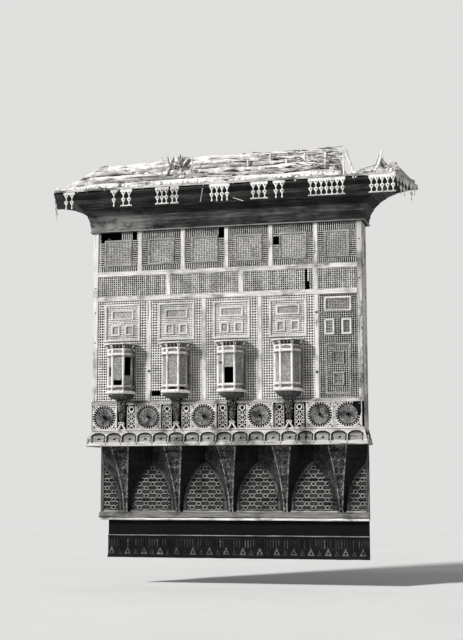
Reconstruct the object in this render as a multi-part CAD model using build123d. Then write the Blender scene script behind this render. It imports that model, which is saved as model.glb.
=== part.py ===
from build123d import *
import os
from math import cos, pi, radians, sin, sqrt, tan

# A projecting timber window with turned lattices, hung on a wall.
# Millimetres. X runs along the wall, the wall face is y = 0 and the room lies behind it.
# The front looks along -Y, and z = 0 is the floor level, at the foot of the rosette band.

# Overall frame
SCREEN_WIDTH = 4700
POST_FACE = 550
POST_WIDTH = 88
HALF = SCREEN_WIDTH / 2

# Levels above the floor line
BAND_HEIGHT = 453
SILL_HEIGHT = 47
MAIN_HEIGHT = 1740
LOWER_RAIL_HEIGHT = 70
MIDDLE_HEIGHT = 370
UPPER_RAIL_HEIGHT = 62
UPPER_HEIGHT = 703
HEAD_HEIGHT = 90
SILL_TOP = BAND_HEIGHT + SILL_HEIGHT
MAIN_TOP = SILL_TOP + MAIN_HEIGHT
MIDDLE_BOTTOM = MAIN_TOP + LOWER_RAIL_HEIGHT
MIDDLE_TOP = MIDDLE_BOTTOM + MIDDLE_HEIGHT
UPPER_BOTTOM = MIDDLE_TOP + UPPER_RAIL_HEIGHT
UPPER_TOP = UPPER_BOTTOM + UPPER_HEIGHT
HEAD_TOP = UPPER_TOP + HEAD_HEIGHT

# Floor and base frame
BASE_DROP = 120
WALL_BEAM_HEIGHT = 240
WALL_BEAM_DEPTH = 90
FLOOR_THICKNESS = 40
JOIST_WIDTH = 90

# Rosette band and sill
BAND_THICKNESS = 40
BAND_PROUD = 25
BAND_BORDER = 24
ROSETTE_RADIUS = 190
ROSETTE_RELIEF = 12
ROSETTE_PANEL = 430
ROSETTE_DISC = 120
ROSETTE_BOSS = 36
ROSETTE_SIDES = 12
LEFT_ROSETTE = 236
RIGHT_ROSETTE = 262
LAST_ROSETTE_SHIFT = 42
NARROW_PANEL = 150
NARROW_OFFSET = 168
SILL_NOSE = 50
SILL_LIP = 12

# Mullions, counted from the left end and spaced evenly between the first and the last
MULLION_WIDTH = 65
MULLION_DEPTH = 70
RAIL_DEPTH = 80
MAIN_MULLIONS = 4
MAIN_FIRST = 1020
MAIN_LAST = 773
MIDDLE_MULLIONS = 3
MIDDLE_FIRST = 1360
MIDDLE_LAST = 784
UPPER_MULLIONS = 5
UPPER_FIRST = 846
UPPER_LAST = 778

# Lattices
LATTICE_RECESS = 12
LATTICE_THICKNESS = 30
LATTICE_BAR = 24
LATTICE_FACE = POST_FACE - LATTICE_RECESS
MAIN_CELL = 240
FOOT_CELL = 300
MIDDLE_CELL = 240
SIDE_CELL_WIDTH = 185
SIDE_CELL_HEIGHT = 300
FIELD_SIDE = 132
FIELD_DROP = 60
FIELD_ABOVE_ORIEL = 65
PANE_SIDE = 120
PANE_GAP = 92
PANE_SHARES = (0.15, 0.43, 0.58, 0.83)
UPPER_FIELD_SIDE = 115
UPPER_FIELD_FOOT = 105
UPPER_FIELD_DROP = 137
NARROW_FIELD_SIDE = 126
NARROW_SHARES = (0.05, 0.12, 0.24, 0.32, 0.44, 0.52, 0.61, 0.75, 0.83, 0.96)

# Small oriels, raised above the sill
ORIEL_SHIFT = 18
ORIEL_WIDTH = 420
ORIEL_SIDE_DEPTH = 180
ORIEL_FACET = 112
ORIEL_WALL = 22
ORIEL_POST = 26
ORIEL_RAISE = 120
ORIEL_PLATE = 30
ORIEL_HEIGHT = 735
ORIEL_FOOT_ROW = 95
ORIEL_HEAD_ROW = 123
ORIEL_WINDOWS = 4
ORIEL_CORNICE_HEIGHT = 80
ORIEL_CORNICE_FLARE = 70
ORIEL_CORNICE_STEPS = ((0, 0), (0.3, 0.2), (0.7, 0.62), (1, 0.85), (1, 1))
ORIEL_PLATE_LIP = 18
ORIEL_BOWL_HEIGHT = 90
ORIEL_BASE = SILL_TOP + ORIEL_RAISE
ORIEL_FLOOR = ORIEL_BASE + ORIEL_PLATE
ORIEL_TOP = ORIEL_FLOOR + ORIEL_HEIGHT
STEM_WIDTH = 136
STEM_DEPTH = 60
STEM_TIP_WIDTH = 90
STEM_TIP_DEPTH = 40
FOOT_WIDTH = 190
FOOT_HEIGHT = 60

# Scalloped skirt
SKIRT_HEIGHT = 263
SKIRT_FLARE = 70
SKIRT_THICKNESS = 26
SCALLOPS = 17
SIDE_SCALLOPS = 2
SCALLOP_DEPTH = 12
SCALLOP_PIER = 40
SCALLOP_MARGIN = 34
SCALLOP_FOOT = 62
ARCH_STEPS = 5

# Brackets and arched panel
BRACKETS = 5
BRACKET_PITCH = SCREEN_WIDTH / BRACKETS
BRACKET_FOOT_FRONT = 60
BRACKET_HEAD_FRONT = 380
BRACKET_FOOT_BACK = 160
BRACKET_FOOT_DEPTH = 60
BRACKET_CURVE = 1.6
BRACKET_TIERS = 9
TIER_LIP = 12
ARCH_STILT = 100
ARCH_APEX = -525
ARCH_RIB = 34
ARCH_RIB_PROUD = 12
PANEL_THICKNESS = 30
PANEL_FOOT = -1380

# Ledge, recess and carved fascia
LEDGE_HEIGHT = 140
LEDGE_DEPTH = 150
LEDGE_FLAT = 95
LEDGE_FALL = 45
LEDGE_CHAMFER = 40
RECESS_HEIGHT = 250
RECESS_DEPTH = 40
FASCIA_LEFT = -2200
FASCIA_RIGHT = 2340
FASCIA_HEIGHT = 350
FASCIA_DEPTH = 75
FASCIA_MOULDING = 40
FASCIA_MOULDING_DEPTH = 105

# Cornice and roof
COVE_STRAIGHT = 40
COVE_BOARD = 35
COVE_RISE = 560
COVE_REACH = 500
COVE_STEPS = 6
EAVE_LEFT = 545
EAVE_RIGHT = 640
EAVE_AT_WALL = 900
CORNICE_BEAD = 16
CORNICE_BEAD_HEIGHT = 26
DECK_THICKNESS = 35
DECK_LIP = 20
ROOF_STUD = 80
ROOF_STUDS = 5

# Daub on the roof: crest points as shares of half the wall's length and of the full height
ROOF_EDGE = 70
ROOF_SLOPE = 760
ROOF_SLOPE_SHARE = 0.7
ROOF_HEIGHT = 690
ROOF_CRESTS = (
    (-0.97, 0.09),
    (-0.86, 0.43),
    (-0.7, 0.83),
    (-0.44, 0.87),
    (-0.16, 0.93),
    (0.12, 0.93),
    (0.38, 0.94),
    (0.55, 1.0),
    (0.6, 0.93),
    (0.64, 0.22),
    (0.78, 0.17),
    (0.81, 0.48),
    (0.87, 0.57),
    (0.97, 0.13),
)

# Stakes: place as a share of half the eave, lean and length as shares of the longest
POLE_RADIUS = 20
POLE_SIDES = 6
POLE_LENGTH = 450
POLES = ((0.655, -0.01, 0.91), (0.708, -0.31, 1.0), (0.812, 0.26, 0.87))
POLE_SETBACK = 120

# Lengths of fringe that are left, as shares of the front and of each splayed side
FRINGE_HEIGHT = 300
FRINGE_THICKNESS = 14
FRINGE_DROP = 170
FRINGE_SHOULDER = 0.72
FRONT_FRINGE = (
    (0.03, 0.065),
    (0.175, 0.195),
    (0.205, 0.24),
    (0.31, 0.38),
    (0.47, 0.53),
    (0.59, 0.64),
    (0.655, 0.69),
    (0.755, 0.86),
    (0.925, 1.0),
)
LEFT_FRINGE = ((0.12, 0.42), (0.56, 0.8))
RIGHT_FRINGE = ((0.02, 0.58), (0.62, 0.92))


def block(x_span, y_span, z_span):
    """A box between three pairs of limits."""
    size = (x_span[1] - x_span[0], y_span[1] - y_span[0], z_span[1] - z_span[0])
    corner = Align.MIN
    return Pos(x_span[0], y_span[0], z_span[0]) * Box(*size, align=(corner, corner, corner))


def plan_prism(points, bottom, top):
    """A plan outline pulled up from one level to another."""
    outline = Plane.XY.offset(bottom) * Polygon(*points, align=None)
    return extrude(outline, top - bottom, dir=(0, 0, 1))


def side_prism(points, left, right):
    """A (y, z) profile pulled along the wall."""
    plane = Plane(origin=(left, 0, 0), x_dir=(0, 1, 0), z_dir=(1, 0, 0))
    return extrude(plane * Polygon(*points, align=None), right - left, dir=(1, 0, 0))


def front_plane(depth):
    """The upright plane at a distance in front of the wall, seen from the front."""
    return Plane(origin=(0, -depth, 0), x_dir=(1, 0, 0), z_dir=(0, -1, 0))


def side_plane(x):
    """The upright plane across the wall, whose first axis runs to the wall."""
    return Plane(origin=(x, 0, 0), x_dir=(0, 1, 0), z_dir=(1, 0, 0))


def rectangle_wire(span, levels):
    (low, high), (bottom, top) = span, levels
    return Wire.make_polygon([(low, bottom), (high, bottom), (high, top), (low, top)])


def cells(breaks, levels, bar):
    """The openings that bars leave when they are centred on each break and level."""
    half = bar / 2
    return [
        ((left + half, right - half), (bottom + half, top - half))
        for left, right in zip(breaks, breaks[1:])
        for bottom, top in zip(levels, levels[1:])
    ]


def pierced_sheet(plane, span, levels, openings, thickness, direction):
    """A flat sheet of crossing bars: an outline less its rectangular openings."""
    outer = rectangle_wire(span, levels)
    holes = [rectangle_wire(*opening) for opening in openings]
    return extrude(plane * Face(outer, holes), thickness, dir=direction)


def facet(*corners):
    return Face(Wire.make_polygon(corners))


def distinct(corners):
    """The corners without those that fall on one before them."""
    kept = []
    for corner in corners:
        if all((Vector(*corner) - Vector(*other)).length > 0.01 for other in kept):
            kept.append(corner)
    return kept


def faceted_loft(sections):
    """A solid through outlines of as many corners each, joined by flat facets."""
    faces = [facet(*sections[0]), facet(*sections[-1])]
    for near, far in zip(sections, sections[1:]):
        for i, corner in enumerate(near):
            j = (i + 1) % len(near)
            for triangle in ((corner, near[j], far[j]), (corner, far[j], far[i])):
                corners = distinct(triangle)
                if len(corners) == 3:
                    faces.append(facet(*corners))
    return Solid(Shell(faces))


def at_level(points, level):
    return [(x, y, level) for x, y in points]


def round_arch(centre, half, foot, crown):
    """An upright outline with a round head, its crown given, in equal steps of angle."""
    spring = crown - half
    outline = [(centre - half, foot), (centre + half, foot)]
    for i in range(ARCH_STEPS + 1):
        angle = pi * i / ARCH_STEPS
        outline.append((centre + half * cos(angle), spring + half * sin(angle)))
    return outline


def evenly(start, stop, wanted):
    """Breaks from start to stop, in equal steps near the wanted one."""
    count = max(1, round((stop - start) / wanted))
    return [start + (stop - start) * i / count for i in range(count + 1)]


def write(name, *solids):
    export_step(Compound(children=list(solids)) if len(solids) > 1 else solids[0], f"parts/{name}.step")


# Base frame and floor

def wall_beam():
    inner = HALF - BAND_THICKNESS
    top = WALL_BEAM_HEIGHT - BASE_DROP
    return block((-inner, inner), (-WALL_BEAM_DEPTH, 0), (-BASE_DROP, top))


def front_beam():
    inner = HALF - SKIRT_THICKNESS
    face = POST_FACE + BAND_PROUD - SKIRT_THICKNESS
    return block((-inner, inner), (-face, POST_WIDTH - face), (-BASE_DROP, 0))


def joists():
    """Joists over the brackets, and one along each side."""
    back, front = -WALL_BEAM_DEPTH, POST_WIDTH + SKIRT_THICKNESS - POST_FACE - BAND_PROUD
    last = HALF - SKIRT_THICKNESS - JOIST_WIDTH / 2
    centres = [-last] + [bracket_x(i) for i in range(BRACKETS)] + [last]
    half = JOIST_WIDTH / 2
    return [block((x - half, x + half), (front, back), (-BASE_DROP, 0)) for x in centres]


def floor_boards():
    inner = HALF - BAND_THICKNESS
    front = -(POST_FACE + BAND_PROUD - BAND_THICKNESS)
    return block((-inner, inner), (front, -WALL_BEAM_DEPTH), (0, FLOOR_THICKNESS))


# Rosette band

def rosette_centres():
    """Over each main mullion, with the last moved on, and one near each end."""
    centres = mullion_centres(MAIN_FIRST, MAIN_LAST, MAIN_MULLIONS)
    centres[-1] += LAST_ROSETTE_SHIFT
    return [LEFT_ROSETTE - HALF, *centres, HALF - RIGHT_ROSETTE]


def narrow_centres():
    """Beside each stem, except where the first rosette takes the place."""
    sides = [(i, side) for i in range(MAIN_MULLIONS) for side in (-1, 1)]
    return [oriel_x(i) + side * NARROW_OFFSET for i, side in sides[1:]]


def rosette(x):
    """A raised square panel with a sunk round field, a disc and a boss."""
    place = Pos(x, BAND_HEIGHT / 2)
    panel = place * Rectangle(ROSETTE_PANEL, BAND_HEIGHT - 2 * BAND_BORDER)
    field = place * RegularPolygon(ROSETTE_RADIUS, ROSETTE_SIDES)
    disc = place * RegularPolygon(ROSETTE_DISC, ROSETTE_SIDES)
    boss = place * RegularPolygon(ROSETTE_BOSS, ROSETTE_SIDES)
    return (panel - field) + (disc - boss)


def narrow_panel(x):
    """A raised frame round an arch-topped carved field."""
    low, high = BAND_BORDER, BAND_HEIGHT - BAND_BORDER
    frame = Pos(x, (low + high) / 2) * Rectangle(NARROW_PANEL, high - low)
    half = NARROW_PANEL / 2 - BAND_BORDER
    return frame - Polygon(*round_arch(x, half, low + BAND_BORDER, high - BAND_BORDER), align=None)


def rosette_band():
    face = POST_FACE + BAND_PROUD
    board = block((-HALF, HALF), (-face, BAND_THICKNESS - face), (0, BAND_HEIGHT))
    relief = [rosette(x) for x in rosette_centres()] + [narrow_panel(x) for x in narrow_centres()]
    for shape in relief:
        board += extrude(front_plane(face) * shape, ROSETTE_RELIEF, dir=(0, -1, 0))
    return board


def side_bands():
    front = BAND_THICKNESS - POST_FACE - BAND_PROUD
    left = block((-HALF, BAND_THICKNESS - HALF), (front, 0), (0, BAND_HEIGHT))
    return left, left.mirror(Plane.YZ)


def sill_profile(face, back):
    return [
        (-back, BAND_HEIGHT),
        (-face - SILL_NOSE, BAND_HEIGHT),
        (-face - SILL_NOSE, BAND_HEIGHT + SILL_LIP),
        (-face, SILL_TOP),
        (-back, SILL_TOP),
    ]


def sill():
    return side_prism(sill_profile(POST_FACE, POST_FACE - POST_WIDTH), -HALF, HALF)


def side_sills():
    front = -(POST_FACE - POST_WIDTH)
    left = block((-HALF, POST_WIDTH - HALF), (front, -WALL_BEAM_DEPTH), (BAND_HEIGHT, SILL_TOP))
    return left, left.mirror(Plane.YZ)


# Posts, rails and mullions

def corner_post(side):
    outer, inner = side * HALF, side * (HALF - POST_WIDTH)
    span = (min(outer, inner), max(outer, inner))
    return block(span, (-POST_FACE, -POST_FACE + POST_WIDTH), (SILL_TOP, UPPER_TOP))


def wall_posts():
    foot = WALL_BEAM_HEIGHT - BASE_DROP
    inner = HALF - BAND_THICKNESS
    low = block((-inner, -inner + POST_WIDTH), (-WALL_BEAM_DEPTH, 0), (foot, BAND_HEIGHT))
    high = block((-HALF, -inner + POST_WIDTH), (-WALL_BEAM_DEPTH, 0), (BAND_HEIGHT, UPPER_TOP))
    left = low + high
    return left, left.mirror(Plane.YZ)


def rail(bottom, top):
    """A front rail between the corner posts, with its two side rails."""
    inner = HALF - POST_WIDTH
    front = block((-inner, inner), (-POST_FACE, -POST_FACE + RAIL_DEPTH), (bottom, top))
    side = block(
        (-HALF, -HALF + RAIL_DEPTH),
        (-POST_FACE + POST_WIDTH, -WALL_BEAM_DEPTH),
        (bottom, top),
    )
    return front, side, side.mirror(Plane.YZ)


def head_frame():
    front = block((-HALF, HALF), (-POST_FACE, -POST_FACE + POST_WIDTH), (UPPER_TOP, HEAD_TOP))
    back = block((-HALF, HALF), (-WALL_BEAM_DEPTH, 0), (UPPER_TOP, HEAD_TOP))
    side = block(
        (-HALF, -HALF + POST_WIDTH),
        (-POST_FACE + POST_WIDTH, -WALL_BEAM_DEPTH),
        (UPPER_TOP, HEAD_TOP),
    )
    return front, back, side, side.mirror(Plane.YZ)


def mullion_centres(first, last, count):
    left, right = first - HALF, HALF - last
    return [left + (right - left) * i / (count - 1) for i in range(count)]


def mullion_row(first, last, count, bottom, top):
    half = MULLION_WIDTH / 2
    depth = (-POST_FACE, -POST_FACE + MULLION_DEPTH)
    centres = mullion_centres(first, last, count)
    return [block((x - half, x + half), depth, (bottom, top)) for x in centres]


def bays(first, last, count):
    """The clear spans that a row of mullions leaves between the corner posts."""
    half = MULLION_WIDTH / 2
    centres = mullion_centres(first, last, count)
    starts = [POST_WIDTH - HALF] + [x + half for x in centres]
    ends = [x - half for x in centres] + [HALF - POST_WIDTH]
    return list(zip(starts, ends))


def main_bays():
    return bays(MAIN_FIRST, MAIN_LAST, MAIN_MULLIONS)


# Lattices

def front_lattice(span, levels, openings):
    plane = front_plane(LATTICE_FACE)
    return pierced_sheet(plane, span, levels, openings, LATTICE_THICKNESS, (0, 1, 0))


def shared_levels(bottom, top, shares):
    return [bottom + (top - bottom) * share for share in shares]


def main_lattice(index):
    """A bay with a framed field above and an opening into its small oriel."""
    span = main_bays()[index]
    centre = (span[0] + span[1]) / 2
    half_mouth = ORIEL_WIDTH / 2 - ORIEL_WALL
    mouth = (oriel_x(index) - half_mouth, oriel_x(index) + half_mouth)
    gap = ORIEL_WALL + LATTICE_BAR / 2
    rows = evenly(ORIEL_FLOOR - gap, ORIEL_TOP + gap, MAIN_CELL)
    openings = [(mouth, (ORIEL_FLOOR, ORIEL_TOP))]
    for strip in ([span[0], mouth[0] - gap], [mouth[1] + gap, span[1]]):
        openings += cells(strip, rows, LATTICE_BAR)
    openings += cells(evenly(*span, FOOT_CELL), [SILL_TOP, rows[0]], LATTICE_BAR)
    left = [span[0], span[0] + FIELD_SIDE, span[0] + FIELD_SIDE + PANE_SIDE, centre - PANE_GAP / 2]
    breaks = left + [2 * centre - x for x in reversed(left)]
    foot = ORIEL_TOP + ORIEL_CORNICE_HEIGHT + FIELD_ABOVE_ORIEL
    head = MAIN_TOP - FIELD_DROP
    levels = [rows[-1], foot, *shared_levels(foot, head, PANE_SHARES), head, MAIN_TOP]
    openings += cells(breaks, levels, LATTICE_BAR)
    return front_lattice(span, (SILL_TOP, MAIN_TOP), openings)


def narrow_lattice():
    span = main_bays()[-1]
    inner = (span[0] + NARROW_FIELD_SIDE, span[1] - NARROW_FIELD_SIDE)
    breaks = [span[0], inner[0], (inner[0] + inner[1]) / 2, inner[1], span[1]]
    levels = [SILL_TOP, *shared_levels(SILL_TOP, MAIN_TOP, NARROW_SHARES), MAIN_TOP]
    return front_lattice(span, (SILL_TOP, MAIN_TOP), cells(breaks, levels, LATTICE_BAR))


def middle_lattices():
    levels = (MIDDLE_BOTTOM, MIDDLE_TOP)
    rows = evenly(*levels, MIDDLE_CELL)
    return [
        front_lattice(span, levels, cells(evenly(*span, MIDDLE_CELL), rows, LATTICE_BAR))
        for span in bays(MIDDLE_FIRST, MIDDLE_LAST, MIDDLE_MULLIONS)
    ]


def upper_lattices():
    foot, head = UPPER_BOTTOM + UPPER_FIELD_FOOT, UPPER_TOP - UPPER_FIELD_DROP
    levels = [UPPER_BOTTOM, foot, head, UPPER_TOP]
    sheets = []
    for span in bays(UPPER_FIRST, UPPER_LAST, UPPER_MULLIONS):
        left, right = span[0] + UPPER_FIELD_SIDE, span[1] - UPPER_FIELD_SIDE
        breaks = [span[0], left, right, span[1]]
        openings = cells(breaks, levels, LATTICE_BAR)
        sheets.append(front_lattice(span, (UPPER_BOTTOM, UPPER_TOP), openings))
    return sheets


def side_lattices():
    """The three registers of the left return, one above the other."""
    span = (-POST_FACE + POST_WIDTH, -WALL_BEAM_DEPTH)
    breaks = evenly(*span, SIDE_CELL_WIDTH)
    plane = side_plane(LATTICE_RECESS - HALF)
    sheets = []
    for levels in ((SILL_TOP, MAIN_TOP), (MIDDLE_BOTTOM, MIDDLE_TOP), (UPPER_BOTTOM, UPPER_TOP)):
        openings = cells(breaks, evenly(*levels, SIDE_CELL_HEIGHT), LATTICE_BAR)
        sheets.append(pierced_sheet(plane, span, levels, openings, LATTICE_THICKNESS, (1, 0, 0)))
    return sheets


# Small oriels

def oriel_x(index):
    """Each stands a little right of the middle of its bay."""
    span = main_bays()[index]
    return (span[0] + span[1]) / 2 + ORIEL_SHIFT


def oriel_plan(x, out=0):
    """Half an octagon in plan, grown outward by a margin."""
    half = ORIEL_WIDTH / 2 + out
    corner = LATTICE_FACE + ORIEL_SIDE_DEPTH + out * tan(pi / 8)
    front = LATTICE_FACE + ORIEL_SIDE_DEPTH + ORIEL_FACET + out
    narrow = half - (front - corner)
    return [
        (x - half, -LATTICE_FACE),
        (x - half, -corner),
        (x - narrow, -front),
        (x + narrow, -front),
        (x + half, -corner),
        (x + half, -LATTICE_FACE),
    ]


def oriel_lights(x, angle, offset, width):
    """The cutters for one column of lights, in a facet turned by an angle in plan."""
    foot, head = ORIEL_FLOOR + ORIEL_FOOT_ROW, ORIEL_TOP - ORIEL_HEAD_ROW
    step = (head - foot) / ORIEL_WINDOWS
    pane = Box(width - 2 * ORIEL_POST, 4 * ORIEL_WALL, step - ORIEL_WALL)
    place = Pos(x + offset[0], -offset[1]) * Rot(0, 0, angle)
    return [Pos(0, 0, foot + step * (row + 0.5)) * place * pane for row in range(ORIEL_WINDOWS)]


def oriel(index):
    """A hollow half octagon with a column of lights in each of its five sides."""
    x = oriel_x(index)
    shell = plan_prism(oriel_plan(x), ORIEL_FLOOR, ORIEL_TOP)
    shell -= plan_prism(oriel_plan(x, -ORIEL_WALL), ORIEL_FLOOR, ORIEL_TOP)
    half = ORIEL_WIDTH / 2
    depth = LATTICE_FACE + ORIEL_SIDE_DEPTH
    cutters = oriel_lights(x, 0, (0, depth + ORIEL_FACET), ORIEL_WIDTH - 2 * ORIEL_FACET)
    for side in (-1, 1):
        slope = (side * (half - ORIEL_FACET / 2), depth + ORIEL_FACET / 2)
        cutters += oriel_lights(x, side * 45, slope, ORIEL_FACET * sqrt(2))
        flank = (side * half, depth - ORIEL_SIDE_DEPTH / 2)
        cutters += oriel_lights(x, 90, flank, ORIEL_SIDE_DEPTH)
    return shell - cutters


def oriel_cornice(index):
    """A flared cap whose three tiers each lean further out, under a flat top."""
    x = oriel_x(index)
    sections = []
    for flare, rise in ORIEL_CORNICE_STEPS:
        level = ORIEL_TOP + rise * ORIEL_CORNICE_HEIGHT
        sections.append(at_level(oriel_plan(x, flare * ORIEL_CORNICE_FLARE), level))
    return faceted_loft(sections)


def oriel_pendant(index):
    """The base plate, the bowl under it and the stem that runs down the rosette band."""
    x = oriel_x(index)
    seat = POST_FACE + SILL_NOSE
    front = seat + STEM_DEPTH
    half = STEM_WIDTH / 2
    bowl_foot = ORIEL_BASE - ORIEL_BOWL_HEIGHT
    plate = plan_prism(oriel_plan(x, ORIEL_PLATE_LIP), ORIEL_BASE, ORIEL_FLOOR)
    neck = [
        (x - half, -LATTICE_FACE),
        (x - half, -seat),
        (x - half / 2, -front),
        (x + half / 2, -front),
        (x + half, -seat),
        (x + half, -LATTICE_FACE),
    ]
    bowl = faceted_loft([at_level(neck, bowl_foot), at_level(oriel_plan(x), ORIEL_BASE)])
    sections = []
    for width, depth, level in (
        (STEM_TIP_WIDTH, STEM_TIP_DEPTH, FOOT_HEIGHT),
        (STEM_WIDTH, STEM_DEPTH, bowl_foot),
    ):
        sections.append(Pos(x, -seat - depth / 2, level) * Rectangle(width, depth))
    stem = loft(sections, ruled=True)
    foot_shape = Polygon(
        (x - STEM_TIP_WIDTH / 2, FOOT_HEIGHT),
        (x - FOOT_WIDTH / 2, 0),
        (x - FOOT_WIDTH / 4, 0),
        (x, FOOT_HEIGHT / 2),
        (x + FOOT_WIDTH / 4, 0),
        (x + FOOT_WIDTH / 2, 0),
        (x + STEM_TIP_WIDTH / 2, FOOT_HEIGHT),
        align=None,
    )
    foot = extrude(front_plane(seat) * foot_shape, STEM_TIP_DEPTH, dir=(0, -1, 0))
    return plate + bowl + stem + foot


# Skirt below the band

def skirt_section(out, level):
    front = POST_FACE + BAND_PROUD + out
    half = HALF + out
    points = ((-half, 0), (-half, -front), (half, -front), (half, 0))
    return Plane.XY.offset(level) * Polygon(*points, align=None)


def leaning_plane(side):
    """The skirt's leaning face: -1 on the left, 0 in front and 1 on the right."""
    slope = (SKIRT_FLARE**2 + SKIRT_HEIGHT**2) ** 0.5
    rise, out = SKIRT_FLARE / slope, SKIRT_HEIGHT / slope
    if side == 0:
        origin = (0, -POST_FACE - BAND_PROUD, 0)
        return Plane(origin=origin, x_dir=(1, 0, 0), z_dir=(0, -out, rise))
    return Plane(origin=(side * HALF, 0, 0), x_dir=(0, side, 0), z_dir=(side * out, 0, rise))


def scallops(side, start, stop, count):
    """Shallow round-headed niches, cut square to a leaning face."""
    slope = (SKIRT_FLARE**2 + SKIRT_HEIGHT**2) ** 0.5
    pitch = (stop - start) / count
    half = (pitch - SCALLOP_PIER) / 2
    plane = leaning_plane(side)
    cutters = []
    for i in range(count):
        centre = start + pitch * (i + 0.5)
        outline = round_arch(centre, half, SCALLOP_FOOT - slope, -SCALLOP_MARGIN)
        inward = (-plane.z_dir.X, -plane.z_dir.Y, -plane.z_dir.Z)
        cutters.append(extrude(plane * Polygon(*outline, align=None), SCALLOP_DEPTH, dir=inward))
    return cutters


def scalloped_skirt():
    """A board that leans outward round three sides, with a row of niches."""
    levels = (-SKIRT_HEIGHT, 0)
    outer = loft([skirt_section(SKIRT_FLARE, levels[0]), skirt_section(0, levels[1])], ruled=True)
    inner = loft(
        [
            skirt_section(SKIRT_FLARE - SKIRT_THICKNESS, levels[0]),
            skirt_section(-SKIRT_THICKNESS, levels[1]),
        ],
        ruled=True,
    )
    front = POST_FACE + BAND_PROUD
    cutters = scallops(0, -HALF, HALF, SCALLOPS)
    cutters += scallops(-1, 0, front, SIDE_SCALLOPS)
    cutters += scallops(1, -front, 0, SIDE_SCALLOPS)
    return outer - inner - cutters


# Brackets

def bracket_x(index):
    return BRACKET_PITCH * (index - (BRACKETS - 1) / 2)


def arch_half_width(level):
    """Half the clear width of the stilted, pointed arch between two brackets at a level."""
    span = (BRACKET_PITCH - BRACKET_FOOT_BACK) / 2
    spring = PANEL_FOOT + ARCH_STILT
    rise = ARCH_APEX - spring
    radius = (span**2 + rise**2) / (2 * span)
    height = min(max(level - spring, 0), rise)
    return sqrt(radius**2 - height**2) - (radius - span)


def bracket_section(x, level, lip=0):
    """The plan of a bracket: narrow in front, and as wide as the arches leave at the back."""
    share = ((level - PANEL_FOOT) / (-BASE_DROP - PANEL_FOOT)) ** BRACKET_CURVE
    half_front = (BRACKET_FOOT_FRONT + (BRACKET_HEAD_FRONT - BRACKET_FOOT_FRONT) * share) / 2
    half_back = BRACKET_PITCH / 2 - arch_half_width(level)
    reach = POST_FACE - PANEL_THICKNESS - BRACKET_FOOT_DEPTH - TIER_LIP
    depth = PANEL_THICKNESS + BRACKET_FOOT_DEPTH + reach * share + lip
    outline = [
        (x - half_back, -PANEL_THICKNESS),
        (x - half_front - lip, -depth),
        (x + half_front + lip, -depth),
        (x + half_back, -PANEL_THICKNESS),
    ]
    return at_level(outline, level)


def bracket_levels():
    step = (-BASE_DROP - PANEL_FOOT) / BRACKET_TIERS
    return [PANEL_FOOT + step * i for i in range(BRACKET_TIERS + 1)]


def bracket(index):
    """A pendentive in tiers that curve outward, each with a small lip."""
    x = bracket_x(index)
    levels = bracket_levels()
    sections = [bracket_section(x, levels[0])]
    for level in levels[1:-1]:
        sections += [bracket_section(x, level, TIER_LIP), bracket_section(x, level)]
    sections.append(bracket_section(x, levels[-1]))
    return faceted_loft(sections)


def arch_side(centre, side, inset):
    """One side of an arch, from its foot to its crown, at the levels of the tiers."""
    levels = [level for level in bracket_levels() if arch_half_width(level) > ARCH_RIB]
    points = [(centre + side * (arch_half_width(level) - inset), level) for level in levels]
    return points + [(centre, ARCH_APEX - 2 * inset)]


def arched_panel():
    """The lining board, with a raised rib round each arch and a half arch at each end."""
    panel = block((-HALF, HALF), (-PANEL_THICKNESS, 0), (PANEL_FOOT, -BASE_DROP))
    for i in range(BRACKETS + 1):
        centre = bracket_x(i) - BRACKET_PITCH / 2
        sides = [side for side in (-1, 1) if abs(centre + side) <= HALF]
        for side in sides:
            outline = arch_side(centre, side, 0) + arch_side(centre, side, ARCH_RIB)[::-1]
            rib = front_plane(PANEL_THICKNESS) * Polygon(*outline, align=None)
            panel += extrude(rib, ARCH_RIB_PROUD, dir=(0, -1, 0))
    return panel


def ledge():
    top, bottom = PANEL_FOOT, PANEL_FOOT - LEDGE_HEIGHT
    profile = [
        (0, top),
        (-LEDGE_FLAT, top),
        (-LEDGE_DEPTH, top - LEDGE_FALL),
        (-LEDGE_DEPTH, bottom + LEDGE_CHAMFER),
        (LEDGE_CHAMFER - LEDGE_DEPTH, bottom),
        (0, bottom),
    ]
    return side_prism(profile, -HALF, HALF)


def recess_board():
    top = PANEL_FOOT - LEDGE_HEIGHT
    return block((FASCIA_LEFT, FASCIA_RIGHT), (-RECESS_DEPTH, 0), (top - RECESS_HEIGHT, top))


def carved_fascia():
    top = PANEL_FOOT - LEDGE_HEIGHT - RECESS_HEIGHT
    bottom = top - FASCIA_HEIGHT
    profile = [
        (0, top),
        (-FASCIA_DEPTH, top),
        (-FASCIA_DEPTH, bottom),
        (-FASCIA_MOULDING_DEPTH, bottom - FASCIA_MOULDING / 2),
        (-FASCIA_MOULDING_DEPTH, bottom - FASCIA_MOULDING),
        (0, bottom - FASCIA_MOULDING),
    ]
    return side_prism(profile, FASCIA_LEFT, FASCIA_RIGHT)


# Cornice

def cove_point(angle, inset):
    """How far out and how high the coved board stands at an angle of its quarter ellipse."""
    out = COVE_BOARD + COVE_REACH * (1 - cos(angle)) - inset * cos(angle)
    rise = UPPER_TOP + COVE_STRAIGHT + COVE_RISE * sin(angle) + inset * sin(angle)
    return out, rise


def splayed_plan(out):
    """The plan at an overhang: it spreads wider towards the wall."""
    share = out / (COVE_BOARD + COVE_REACH)
    front = POST_FACE + out
    left, right, wall = EAVE_LEFT * share, EAVE_RIGHT * share, EAVE_AT_WALL * share
    return [
        (-HALF - wall, 0),
        (-HALF - left, -front),
        (HALF + right, -front),
        (HALF + wall, 0),
    ]


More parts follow.
